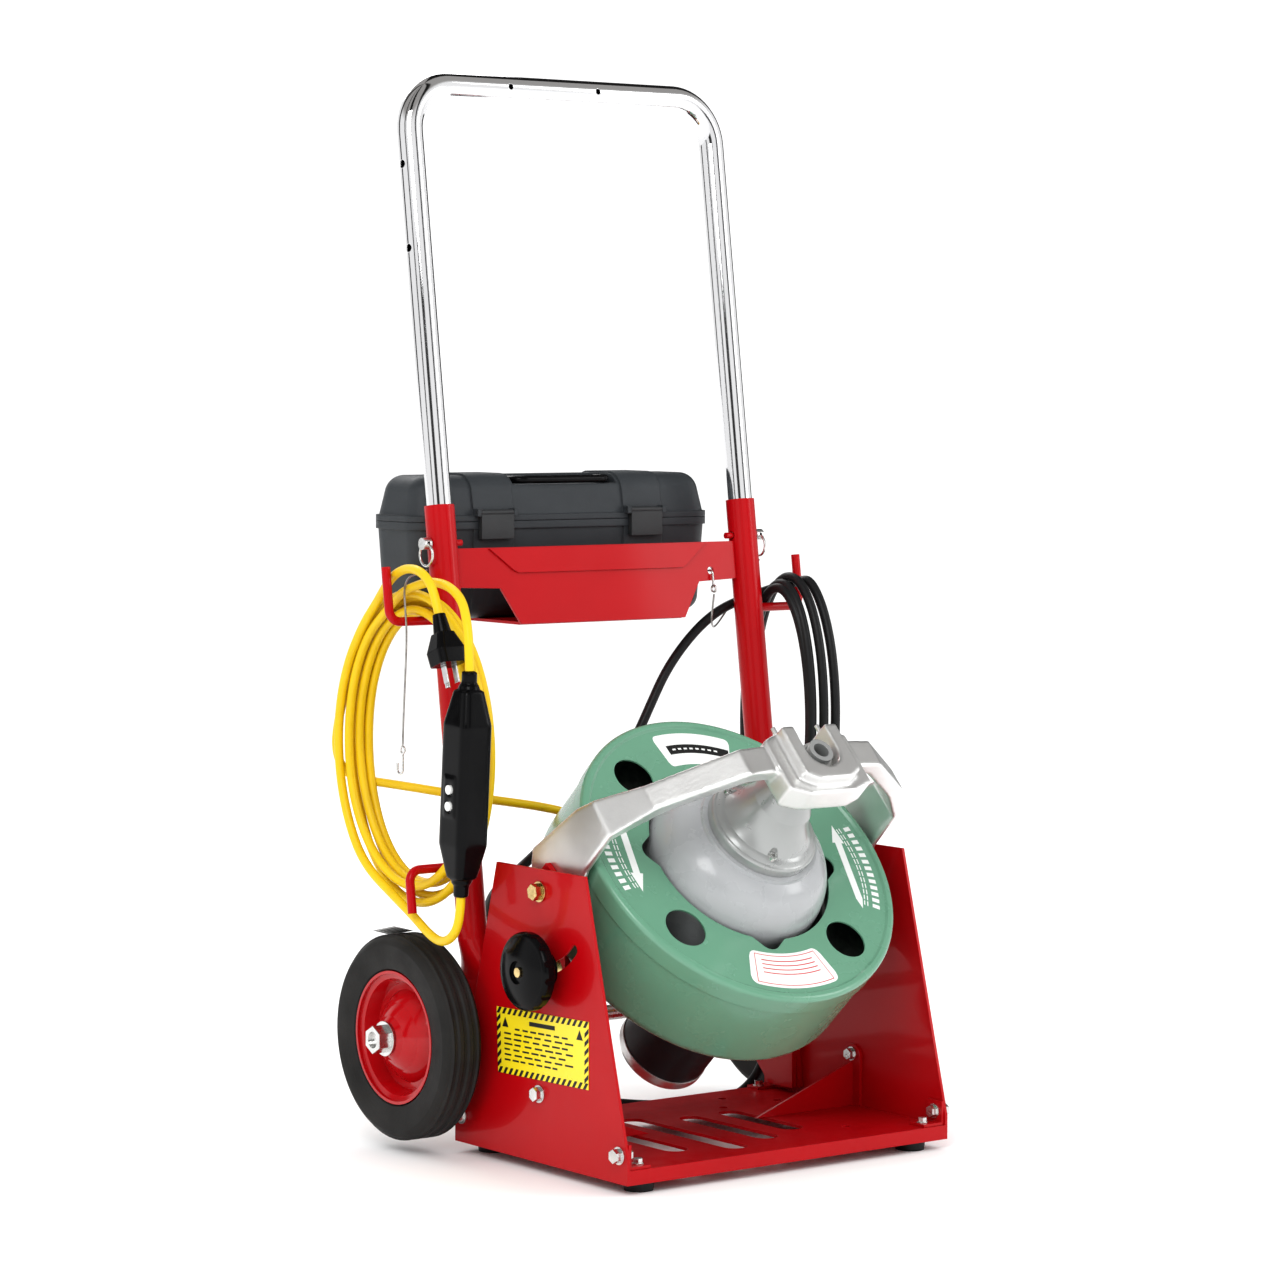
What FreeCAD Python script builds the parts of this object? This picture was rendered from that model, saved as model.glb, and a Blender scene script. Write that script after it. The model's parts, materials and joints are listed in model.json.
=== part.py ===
import FreeCAD, Part
import Sketcher
import math
import os

# Drain cleaning machine: a tilting cable drum in a wheeled sheet-metal stand with a telescoping handle.
# Millimetres. X is the width, +Y points to the back (wheels), +Z up; the origin is on the ground,
# at the middle of the machine's width and depth.

DRIVING_SIZES = {
    # stand
    "front_edge": -202,
    "base_width": 400,
    "base_depth": 281,
    "base_top": 24,
    "base_rim": 14,
    "sheet_gauge": 3,
    "plate_height": 294,
    "plate_top_front": 69,
    "plate_top_back": 212,
    # leaning frame tubes and telescoping handle
    "lean_angle": 8,
    "lean_foot": 238,
    "tube_offset": 191,
    "tube_radius": 15,
    "tube_bore": 12.8,
    "tube_length": 618.5,
    "tube_round_start": 190,
    "tube_bore_floor": 196,
    "leg_radius": 12.7,
    "leg_wall": 1.6,
    "leg_foot": 535,
    "handle_height": 1040,
    "handle_bend": 48,
    "pin_height": 581,
    "handle_travel": 294,
    # transport wheels
    "axle_height": 114,
    "axle_setback": 309,
    "axle_radius": 8,
    "wheel_offset": 237.5,
    "tyre_radius": 101.6,
    "tyre_width": 45,
    "rim_radius": 66,
    # tilting cradle
    "pivot_setback": 140.5,
    "pivot_height": 272.4,
    "pivot_radius": 6.35,
    "knob_arc_radius": 74.4,
    "slot_forward": 38,
    "slot_backward": 16,
    "drum_angle": 43.3,
    "drum_setback": 82.8,
    "drum_height": 298.1,
    # drum and distributor
    "drum_radius": 172.2,
    "drum_length": 112,
    "drum_mouth": 99,
    "drum_gauge": 2,
    "hub_radius": 95.5,
    "trumpet_flange": 57,
    "neck_radius": 19,
    "outlet_reach": 166,
    # accessory case
    "case_width": 378,
    "case_depth": 92,
    "case_front": 364,
    "case_floor": 519,
    "case_seam": 618,
    "case_top": 664,
    "case_wall": 3,
    # cords
    "cord_radius": 4.5,
    "hose_radius": 5,
}

doc = FreeCAD.newDocument("DrainMachine")
sheet = doc.addObject("Spreadsheet::Sheet", "dim")
for row, (alias, number) in enumerate(DRIVING_SIZES.items(), start=1):
    sheet.set(f"A{row}", alias.replace("_", " "))
    sheet.set(f"B{row}", str(number))
    sheet.setAlias(f"B{row}", alias)
doc.recompute()

parts = []


def value(expression):
    """Number that an expression over the sheet gives; plain numbers pass through."""
    if isinstance(expression, (int, float)):
        return float(expression)
    result = sheet.evalExpression(expression)
    return float(getattr(result, "Value", result))


def size(alias):
    return float(sheet.get(alias))


def point(x, y, z):
    return FreeCAD.Vector(x, y, z)


X_AXIS = point(1, 0, 0)
Y_AXIS = point(0, 1, 0)
Z_AXIS = point(0, 0, 1)
SIDES = ((-1, "left"), (1, "right"))

# Three working frames. Upright: height from the ground, depth from the base's front edge. Leaning: Z runs
# up along the frame tubes from the base top. Drum: Z runs out along the drum's axis from its front face.
UPRIGHT = FreeCAD.Placement(point(0, size("front_edge"), 0), FreeCAD.Rotation())
LEANING = FreeCAD.Placement(
    point(0, size("front_edge") + size("lean_foot"), size("base_top")),
    FreeCAD.Rotation(X_AXIS, -size("lean_angle")),
)
DRUM = FreeCAD.Placement(
    point(0, size("front_edge") + size("drum_setback"), size("drum_height")),
    FreeCAD.Rotation(X_AXIS, 90 - size("drum_angle")),
)


def keep(item, label, frame):
    """Registers a sub-part: its label names its file and its placement puts it in the machine."""
    item.Label = label
    item.Placement = frame
    parts.append(item)
    return item


def feature(label, shape, frame):
    """A shape that is set directly, placed after it is set."""
    item = doc.addObject("Part::Feature", label)
    item.Shape = shape
    return keep(item, label, frame)


def primitive(kind, name, at=(), **expressions):
    """A Part primitive whose sizes, and position if one is given, are bound to the sheet."""
    item = doc.addObject("Part::" + kind, name)
    for prop, expression in expressions.items():
        item.setExpression(prop, str(expression))
    for letter, expression in zip("xyz", at):
        item.setExpression("Placement.Base." + letter, str(expression))
    return item


def group(kind, name, items):
    """A boolean of several objects: Part::MultiFuse or Part::MultiCommon."""
    item = doc.addObject("Part::" + kind, name)
    item.Shapes = items
    return item


def cut(name, base, tools):
    item = doc.addObject("Part::Cut", name)
    item.Base = base
    item.Tool = tools[0] if len(tools) == 1 else group("MultiFuse", name + "_tools", tools)
    return item


def compound(name, items):
    """Separate solids that share one node."""
    item = doc.addObject("Part::Compound", name)
    item.Links = items
    return item


# ---------------------------------------------------------------- sketches for the PartDesign bodies


def add_outline(sketch, corners):
    """Closed outline. A corner is (x, y) or (x, y, radius), where the signed radius bends the edge that
    arrives at the corner: positive turns left of the way travelled, negative turns right."""
    places = [point(value(c[0]), value(c[1]), 0) for c in corners]
    count = len(corners)
    edges = []
    for i in range(count):
        start, end = places[i], places[(i + 1) % count]
        corner = corners[(i + 1) % count]
        if len(corner) == 2:
            edges.append((sketch.addGeometry(Part.LineSegment(start, end), False), 1, 2))
            continue
        radius = value(corner[2])
        chord = end - start
        sagitta = abs(radius) - math.sqrt(radius**2 - (chord.Length / 2) ** 2)
        bulge = point(chord.y, -chord.x, 0).normalize() * sagitta
        if radius < 0:
            bulge = bulge * -1
        middle = (start + end) * 0.5 + bulge
        if radius > 0:
            edges.append((sketch.addGeometry(Part.Arc(start, middle, end), False), 1, 2))
        else:
            edges.append((sketch.addGeometry(Part.Arc(end, middle, start), False), 2, 1))
        rule = sketch.addConstraint(Sketcher.Constraint("Radius", edges[-1][0], abs(radius)))
        sketch.setExpression(f"Constraints[{rule}]", f"abs({corner[2]})")
    for i in range(count):
        edge, begin, _ = edges[i]
        before, _, finish = edges[i - 1]
        sketch.addConstraint(Sketcher.Constraint("Coincident", before, finish, edge, begin))
        for kind, axis, axis_line in (("DistanceX", 0, -2), ("DistanceY", 1, -1)):
            place = value(corners[i][axis])
            if abs(place) < 1e-9:
                sketch.addConstraint(Sketcher.Constraint("PointOnObject", edge, begin, axis_line))
                continue
            rule = sketch.addConstraint(Sketcher.Constraint(kind, -1, 1, edge, begin, place))
            sketch.setExpression(f"Constraints[{rule}]", str(corners[i][axis]))


def add_circle(sketch, x, y, radius):
    circle = sketch.addGeometry(Part.Circle(point(value(x), value(y), 0), Z_AXIS, value(radius)), False)
    rule = sketch.addConstraint(Sketcher.Constraint("Radius", circle, value(radius)))
    sketch.setExpression(f"Constraints[{rule}]", str(radius))
    for kind, place, axis_line in (("DistanceX", x, -2), ("DistanceY", y, -1)):
        if abs(value(place)) < 1e-9:
            sketch.addConstraint(Sketcher.Constraint("PointOnObject", circle, 3, axis_line))
            continue
        rule = sketch.addConstraint(Sketcher.Constraint(kind, -1, 1, circle, 3, value(place)))
        sketch.setExpression(f"Constraints[{rule}]", str(place))


def add_sketch(body, name, role):
    """A sketch on one of the body's own origin planes."""
    sketch = body.newObject("Sketcher::SketchObject", name)
    plane = next(item for item in body.Origin.OriginFeatures if item.Role == role)
    sketch.AttachmentSupport = [(plane, "")]
    sketch.MapMode = "FlatFace"
    return sketch


def turned_body(name, corners):
    """A body of revolution about Z from an outline of (radius, height) corners."""
    body = doc.addObject("PartDesign::Body", name)
    sketch = add_sketch(body, name + "_outline", "XZ_Plane")
    add_outline(sketch, corners)
    revolution = body.newObject("PartDesign::Revolution", name + "_turned")
    revolution.Profile = sketch
    revolution.ReferenceAxis = (sketch, ["V_Axis"])
    revolution.Angle = 360
    body.Tip = revolution
    return body


def padded_body(name, role, corners, thickness):
    """A plate: an outline on an origin plane, thickened along the plane's normal."""
    body = doc.addObject("PartDesign::Body", name)
    sketch = add_sketch(body, name + "_outline", role)
    add_outline(sketch, corners)
    pad = body.newObject("PartDesign::Pad", name + "_plate")
    pad.Profile = sketch
    pad.setExpression("Length", str(thickness))
    body.Tip = pad
    return body


def pocket_through(body, name, role, draw):
    """A pocket cut both ways through the whole body; draw puts the openings in the sketch."""
    sketch = add_sketch(body, name + "_outline", role)
    draw(sketch)
    pocket = body.newObject("PartDesign::Pocket", name)
    pocket.Profile = sketch
    pocket.Type = "ThroughAll"
    pocket.Midplane = True
    body.Tip = pocket
    return pocket


# ---------------------------------------------------------------- direct shapes


def prism(corners, axis, low, high):
    """Solid between two planes across an axis; corners are the other two coordinates in X, Y, Z order."""
    places = []
    for a, b in corners:
        if axis == "x":
            places.append(point(low, a, b))
        elif axis == "y":
            places.append(point(a, low, b))
        else:
            places.append(point(a, b, low))
    direction = {"x": X_AXIS, "y": Y_AXIS, "z": Z_AXIS}[axis]
    face = Part.Face(Part.makePolygon(places + places[:1]))
    return face.extrude(direction * (high - low))


def block(low, high):
    """Box between two opposite corners."""
    return Part.makeBox(high[0] - low[0], high[1] - low[1], high[2] - low[2], point(*low))


def rod(start, end, radius):
    way = point(*end) - point(*start)
    return Part.makeCylinder(radius, way.Length, point(*start), way)


def hexagon(centre, axis, across_flats, height):
    """Hexagonal bolt head or nut standing on its centre point."""
    corner = across_flats / math.sqrt(3)
    turns = [k * math.pi / 3 for k in range(6)]
    ring = [point(corner * math.cos(turn), corner * math.sin(turn), 0) for turn in turns]
    nut = Part.Face(Part.makePolygon(ring + ring[:1])).extrude(point(0, 0, height))
    nut.Placement = FreeCAD.Placement(point(*centre), FreeCAD.Rotation(Z_AXIS, axis))
    return nut


def bolt(centre, axis, across_flats):
    """Bolt head with its washer, seated on the centre point."""
    washer_height = 0.12 * across_flats
    washer = Part.makeCylinder(0.72 * across_flats, washer_height, point(*centre), axis)
    seat = point(*centre) + point(*axis) * washer_height
    return washer.fuse(hexagon(seat, axis, across_flats, 0.55 * across_flats))


def joined(shapes):
    """One solid fused from shapes that touch."""
    return shapes[0].multiFuse(shapes[1:]).removeSplitter()


def rounded_route(points, share=0.45):
    """Path of straight runs joined by tangent arcs, and the arcs' radii."""
    corners = [point(*p) for p in points]
    edges = []
    radii = []
    start = corners[0]
    for before, here, after in zip(corners, corners[1:], corners[2:]):
        back = (before - here).normalize()
        ahead = (after - here).normalize()
        half_turn = (math.pi - back.getAngle(ahead)) / 2
        setback = share * min((here - before).Length, (after - here).Length)
        radii.append(setback / math.tan(half_turn))
        enter = here + back * setback
        leave = here + ahead * setback
        bisector = (back + ahead).normalize()
        middle = here + bisector * (radii[-1] / math.cos(half_turn) - radii[-1])
        edges.append(Part.LineSegment(start, enter).toShape())
        edges.append(Part.Arc(enter, middle, leave).toShape())
        start = leave
    edges.append(Part.LineSegment(start, corners[-1]).toShape())
    return Part.Wire(edges), radii


def swept(route, points, radius):
    """Solid of round section swept along a route that starts at the first point towards the second."""
    way = (point(*points[1]) - point(*points[0])).normalize()
    section = Part.Wire(Part.Circle(point(*points[0]), way, radius).toShape())
    sweep = Part.BRepOffsetAPI.MakePipeShell(route)
    sweep.add(section)
    sweep.build()
    sweep.makeSolid()
    return sweep.shape()


def bent_rod(points, bend, radius):
    """Rod through points with every corner bent to the same radius."""
    corners = [point(*p) for p in points]
    edges = []
    start = corners[0]
    for before, here, after in zip(corners, corners[1:], corners[2:]):
        back = (before - here).normalize()
        ahead = (after - here).normalize()
        half_turn = (math.pi - back.getAngle(ahead)) / 2
        setback = bend * math.tan(half_turn)
        middle = here + (back + ahead).normalize() * (bend / math.cos(half_turn) - bend)
        edges.append(Part.LineSegment(start, here + back * setback).toShape())
        edges.append(Part.Arc(here + back * setback, middle, here + ahead * setback).toShape())
        start = here + ahead * setback
    edges.append(Part.LineSegment(start, corners[-1]).toShape())
    return swept(Part.Wire(edges), points, radius)


def tube_along(name, points, radius):
    """Solid cord swept along a rounded route; prints its radii and its volume against section x length."""
    route, radii = rounded_route(points)
    solid = swept(route, points, radius)
    ideal = math.pi * radius**2 * route.Length
    radii_text = ", ".join(f"{r / (2 * radius):.1f}" for r in radii)
    print(f"{name}: length {route.Length:.0f}, volume ratio {solid.Volume / ideal:.4f}")
    print(f"{name}: radii/diameter {radii_text}")
    return solid


# ---------------------------------------------------------------- stand


def make_base_plate():
    """Folded tray with down-turned rims and cut-outs for cable and tools."""
    outer = primitive(
        "Box", "base_tray",
        at=("-dim.base_width / 2 + dim.sheet_gauge", "0", "dim.base_top - dim.base_rim"),
        Length="dim.base_width - 2 * dim.sheet_gauge", Width="dim.base_depth", Height="dim.base_rim",
    )
    hollow = primitive(
        "Box", "base_hollow",
        at=(
            "-dim.base_width / 2 + 2 * dim.sheet_gauge",
            "dim.sheet_gauge",
            "dim.base_top - dim.base_rim - dim.sheet_gauge",
        ),
        Length="dim.base_width - 4 * dim.sheet_gauge",
        Width="dim.base_depth - 2 * dim.sheet_gauge",
        Height="dim.base_rim",
    )
    tools = [hollow]
    slot_width = 26
    slots = ((-96, 62, 176), (-40, 40, 200), (16, 62, 176), (66, 84, 176))
    for k, (middle, front, back) in enumerate(slots):
        tools.append(primitive(
            "Box", f"base_slot_{k}", at=(middle - slot_width / 2, front, 0),
            Length=slot_width, Width=back - front, Height="dim.base_top + 10",
        ))
        for end_name, end in (("front", front), ("back", back)):
            tools.append(primitive(
                "Cylinder", f"base_slot_{end_name}_{k}", at=(middle, end, 0),
                Radius=slot_width / 2, Height="dim.base_top + 10",
            ))
    holes = ((79, 205), (114, 55), (-150, 100), (150, 205), (-110, 245), (110, 245))
    for k, (x, y) in enumerate(holes):
        tools.append(primitive(
            "Cylinder", f"base_hole_{k}", at=(x, y, 0), Radius=4.5, Height="dim.base_top + 10",
        ))
    keep(cut("base_plate", outer, tools), "base_plate", UPRIGHT)


def make_feet():
    feet = []
    for side, side_name in SIDES:
        for end_name, setback in (("front", "22"), ("back", "dim.base_depth - 22")):
            feet.append(primitive(
                "Cone", f"foot_{side_name}_{end_name}",
                at=(f"{side} * (dim.base_width / 2 - 30)", setback, "0"),
                Radius1=14, Radius2=17, Height="dim.base_top - dim.sheet_gauge",
            ))
    keep(compound("rubber_feet", feet), "rubber_feet", UPRIGHT)


KNOB_BEARING = 260.3
SLOT_HALF = 5.2


def slot_corner(radius, bearing):
    """Corner of the tilt lock's arc slot, in Y and Z, at a radius and bearing from the pivot."""
    return (f"dim.pivot_setback + ({radius}) * cos({bearing} * 1 deg)",
            f"dim.pivot_height + ({radius}) * sin({bearing} * 1 deg)")


def make_side_plate(side, side_name):
    """Trapezoid plate with the pivot hole and the arc slot of the tilt lock, drawn in Y and Z."""
    name = "side_plate_" + side_name
    low = "dim.base_top - dim.base_rim"
    body = padded_body(
        name, "YZ_Plane",
        [
            ("0", low), ("dim.base_depth", low), ("dim.base_depth", "dim.base_top + 10"),
            ("dim.plate_top_back", "dim.plate_height"), ("dim.plate_top_front", "dim.plate_height"),
            ("0", "dim.base_top + 10"),
        ],
        "dim.sheet_gauge",
    )

    hole = ("dim.pivot_setback", "dim.pivot_height", "dim.pivot_radius + 0.08")

    def openings(sketch):
        add_circle(sketch, *hole)
        if side > 0:
            return
        forward = f"({KNOB_BEARING} - dim.slot_forward)"
        backward = f"({KNOB_BEARING} + dim.slot_backward)"
        outer = f"dim.knob_arc_radius + {SLOT_HALF}"
        inner = f"dim.knob_arc_radius - {SLOT_HALF}"
        add_outline(sketch, [
            slot_corner(outer, forward) + (f"{SLOT_HALF} + 0.001",),
            slot_corner(outer, backward) + (outer,),
            slot_corner(inner, backward) + (f"{SLOT_HALF} + 0.001",),
            slot_corner(inner, forward) + (f"-({inner})",),
        ])

    pocket_through(body, name + "_openings", "YZ_Plane", openings)
    inner_face = size("base_width") / 2 - size("sheet_gauge")
    shift = inner_face if side > 0 else -size("base_width") / 2
    keep(body, name, UPRIGHT.multiply(FreeCAD.Placement(point(shift, 0, 0), FreeCAD.Rotation())))


def make_base_brackets():
    """Corner angles that hold the side plates to the base, and the two triangular braces."""
    wall = size("base_width") / 2 - size("sheet_gauge")
    gauge = size("sheet_gauge")
    top = size("base_top")
    shapes = []
    for front, back in ((2, 24), (262, 280)):
        upright = block((wall - gauge, front, top), (wall, back, top + 24))
        flat = block((wall - 26, front, top), (wall, back, top + gauge))
        shapes.append(joined([upright, flat]))
    post = block((wall - gauge, 127, top), (wall, 153, top + 50))
    cap = rod((wall - gauge, 140, top + 50), (wall, 140, top + 50), 13)
    web = prism([(wall - gauge, top), (68, top), (wall - gauge, top + 45)], "y", 138.5, 141.5)
    shapes.append(joined([post, cap, web]))
    shapes += [shape.mirror(point(0, 0, 0), X_AXIS) for shape in shapes]
    feature("base_brackets", Part.makeCompound(shapes), UPRIGHT)


def make_frame_bolts():
    """Hex bolts of the side plates, brackets and braces, and the axle nuts."""
    outside = size("base_width") / 2
    wall = outside - size("sheet_gauge")
    gauge = size("sheet_gauge")
    top = size("base_top")
    shapes = []
    for side, _ in SIDES:
        outward = point(side, 0, 0)
        for setback, height in ((13, top + 13), (270, top + 13), (140, top + 53)):
            shapes.append(bolt((side * outside, setback, height), outward, 12))
        for setback, height in ((13, top + 13), (140, top + 53)):
            shapes.append(bolt((side * (wall - gauge), setback, height), point(-side, 0, 0), 10))
        for setback in (13, 270):
            shapes.append(bolt((side * (wall - 19), setback, top + gauge), Z_AXIS, 8))
        hub_end = size("wheel_offset") + 26
        shapes.append(bolt((side * hub_end, size("axle_setback"), size("axle_height")), outward, 24))
    axle_rod = rod(
        (-400, size("axle_setback"), size("axle_height")), (400, size("axle_setback"), size("axle_height")),
        size("axle_radius"),
    )
    shapes = [shape.cut(axle_rod) for shape in shapes]
    feature("frame_bolts", Part.makeCompound(shapes), UPRIGHT)


def make_hazard_label():
    """Thin plate on the left side plate that carries the striped hazard label."""
    outside = size("base_width") / 2
    label = prism([(61, 157), (61, 92), (207.5, 89), (210.5, 153)], "x", -outside - 0.6, -outside)
    feature("hazard_label", label, UPRIGHT)


def make_axle():
    item = primitive("Cylinder", "axle", Radius="dim.axle_radius", Height="2 * (dim.wheel_offset + 38)")
    start = point(-size("wheel_offset") - 38, size("axle_setback"), size("axle_height"))
    keep(item, "axle", UPRIGHT.multiply(FreeCAD.Placement(start, FreeCAD.Rotation(Y_AXIS, 90))))


def make_axle_brackets():
    """Plates that reach back from the flattened tube ends to the axle, with a collar by each wheel."""
    outline = [(224, 30), (262, 30), (326, 96), (330, 120), (318, 134), (296, 136), (224, 120)]
    hole = rod(
        (-400, size("axle_setback"), size("axle_height")), (400, size("axle_setback"), size("axle_height")),
        size("axle_radius") + 0.05,
    )
    shapes = []
    for side, _ in SIDES:
        near, far = sorted((side * 185, side * 190.5))
        plate = prism(outline, "x", near, far)
        collar = rod((side * 190.5, size("axle_setback"), size("axle_height")),
                     (side * 208, size("axle_setback"), size("axle_height")), 15)
        shapes.append(joined([plate, collar]).cut(hole))
    feature("axle_brackets", Part.makeCompound(shapes), UPRIGHT)


# ---------------------------------------------------------------- leaning frame


PIN_HOLE = 4.1


def make_tube(side, side_name):
    """Round tube, open at the top, whose lower end is pressed flat against the side plate."""
    offset = side * size("tube_offset")
    radius = size("tube_radius")
    start = size("tube_round_start")
    bore_floor = size("tube_bore_floor")
    length = size("tube_length")
    barrel = Part.makeCylinder(radius, length - start, point(offset, 0, start))
    round_end = Part.Wire(Part.Circle(point(offset, 0, start), Z_AXIS, radius).toShape())
    flat_middle = side * 193.9
    flat_half = 2.9
    flat_width = 19
    flat_top = 150
    flat_corners = [
        point(flat_middle + a * flat_half, b * flat_width, flat_top)
        for a, b in ((-1, -1), (1, -1), (1, 1), (-1, 1))
    ]
    flat_end = Part.makePolygon(flat_corners + flat_corners[:1])
    taper = Part.makeLoft([round_end, flat_end], True, False)
    tab = block((flat_middle - flat_half, -flat_width, 4), (flat_middle + flat_half, flat_width, flat_top))
    bore = Part.makeCylinder(size("tube_bore"), length, point(offset, 0, bore_floor))
    pin_hole = rod((0, 0, size("pin_height")), (side * 300, 0, size("pin_height")), PIN_HOLE)
    guide_start = side * (size("tube_offset") - radius + 0.6)
    guide = rod((guide_start, 0, size("pin_height")), (side * 168, 0, size("pin_height")), 3.2)
    tube = barrel.fuse(taper).fuse(tab).cut(bore).cut(pin_hole).fuse(guide)
    tube = tube.cut(Part.makeCylinder(size("tube_bore"), length, point(offset, 0, bore_floor)))
    feature("tube_" + side_name, tube, LEANING)


def make_handle():
    """Chrome U tube whose legs slide in the frame tubes, with a row of pin holes on each leg's outer side."""
    offset = size("tube_offset")
    foot = size("leg_foot")
    top = size("handle_height")
    corners = [(-offset, 0, foot), (-offset, 0, top), (offset, 0, top), (offset, 0, foot)]
    bend = size("handle_bend")
    outside = bent_rod(corners, bend, size("leg_radius"))
    inside = bent_rod(corners, bend, size("leg_radius") - size("leg_wall"))
    pin = size("pin_height")
    holes = []
    for side, _ in SIDES:
        for height in (pin, pin + size("handle_travel"), pin + size("handle_travel") + 84):
            holes.append(rod((side * offset, 0, height), (side * (offset + 30), 0, height), PIN_HOLE))
    for x in (-72, 38):
        holes.append(rod((x, 0, top), (x, -30, top), 3))
    feature("handle", outside.cut(inside).cut(Part.makeCompound(holes)), LEANING)


def make_ring_pin(side, side_name):
    """Pull pin that locks the telescoping leg, with a split ring through its head."""
    height = size("pin_height")
    inner = size("tube_offset") + size("tube_bore") + 0.4
    collar = size("tube_offset") + size("tube_radius") + 0.4
    head_end = collar + 9
    shank = rod((side * inner, 0, height), (side * collar, 0, height), 4)
    head = rod((side * collar, 0, height), (side * head_end, 0, height), 6)
    eye = rod((side * (head_end - 4.5), -20, height), (side * (head_end - 4.5), 20, height), 1.7)
    pin = joined([shank, head]).cut(eye)
    ring = Part.makeTorus(11, 1.3, point(side * (head_end - 4.5), 0, height - 11), X_AXIS)
    feature("ring_pin_" + side_name, Part.makeCompound([pin, ring]), LEANING)


LANYARD_HOLE = (142, 545)


def make_cross_plate():
    """Plate between the frame tubes with a tapering lower flap and a raised stiffening panel."""
    half = size("tube_offset") - size("tube_radius") - 0.1
    body = padded_body(
        "cross_plate", "XZ_Plane",
        [
            (-half, 536), (-126, 534), (-104, 497.5), (104, 497.5), (126, 534), (half, 536),
            (half, 575), (-half, 575),
        ],
        "dim.sheet_gauge",
    )
    sketch = add_sketch(body, "cross_panel_outline", "XZ_Plane")
    add_outline(sketch, [(-138, 574), (-110, 552), (-104, 549), (104, 549), (110, 552), (138, 574)])
    panel = body.newObject("PartDesign::Pad", "cross_panel")
    panel.Profile = sketch
    panel.setExpression("Length", "dim.sheet_gauge + 2.2")
    body.Tip = panel
    pocket_through(body, "lanyard_hole", "XZ_Plane", lambda drawing: add_circle(drawing, *LANYARD_HOLE, 4))
    keep(body, "cross_plate", LEANING)


def make_case_shelf():
    """Shelf behind the cross plate with an upturned lip at the back."""
    floor = size("case_floor")
    front = 309.5
    back = size("case_front") + size("case_depth") + 1
    shelf = block((-103, front, floor - 3), (103, back + 3, floor))
    lip = block((-103, back, floor - 3), (103, back + 3, floor + 22))
    feature("case_shelf", joined([shelf, lip]), UPRIGHT)


def make_hooks(side, name):
    """Upper hook that turns up and lower hook that turns down, welded to one frame tube."""
    root = side * (size("tube_offset") + size("tube_radius") - 0.6)
    reach = side * 260
    upper, lower = 505, 262
    shapes = [
        bent_rod([(root, 0, upper), (reach, 0, upper), (reach, 0, upper + 54)], 12, 4.5),
        bent_rod([(root, 0, lower), (reach, 0, lower), (reach, 0, lower - 42)], 12, 4.5),
    ]
    clear = Part.makeCylinder(size("tube_radius"), 800, point(side * size("tube_offset"), 0, 0))
    feature(name, Part.makeCompound([shape.cut(clear) for shape in shapes]), LEANING)


# ---------------------------------------------------------------- wheels


def wheel_placement(side):
    centre = point(side * size("wheel_offset"), size("axle_setback"), size("axle_height"))
    return UPRIGHT.multiply(FreeCAD.Placement(centre, FreeCAD.Rotation(Y_AXIS, 90 * side)))


def make_wheel(side, side_name):
    """Ribbed solid tyre on a dished steel rim; local Z points outward along the axle."""
    half = size("tyre_width") / 2
    tread = size("tyre_radius")
    seat = size("rim_radius")
    groove = 1.6
    outline = [(seat, -15), (seat + 2, -18.5), (78, -21), (92, -half, 60), (tread - 2.5, -16.5, 12)]
    for middle in (-11, 0, 11):
        outline += [
            (tread, middle - 3.4), (tread - groove, middle - 1.6), (tread - groove, middle + 1.6),
            (tread, middle + 3.4),
        ]
    outline += [(tread - 2.5, 16.5), (92, half, 12), (78, 21, 60), (seat + 2, 18.5), (seat, 15)]
    tyre = turned_body("tyre_" + side_name, outline)
    keep(tyre, "tyre_" + side_name, wheel_placement(side))

    bore = "dim.axle_radius + 0.08"
    hub = 17
    rim_outline = [
        (bore, -24.5), (hub, -24.5), (hub, 12), (22, 14), (34, 6, 60), (46, -5), (54, -5), (58, -13),
        (seat - 3, -14.5), (seat - 3, -18), (seat, -18), (seat, 18), (seat - 3, 18), (seat - 3, 14.5),
        (58, 13), (53, -1), (46, 0), (34, 12, 60), (22, 21, 60), (hub, 25.5), (bore, 25.5),
    ]
    rim = turned_body("rim_" + side_name, rim_outline)
    keep(rim, "rim_" + side_name, wheel_placement(side))


# ---------------------------------------------------------------- drum and distributor (drum frame)


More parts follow.
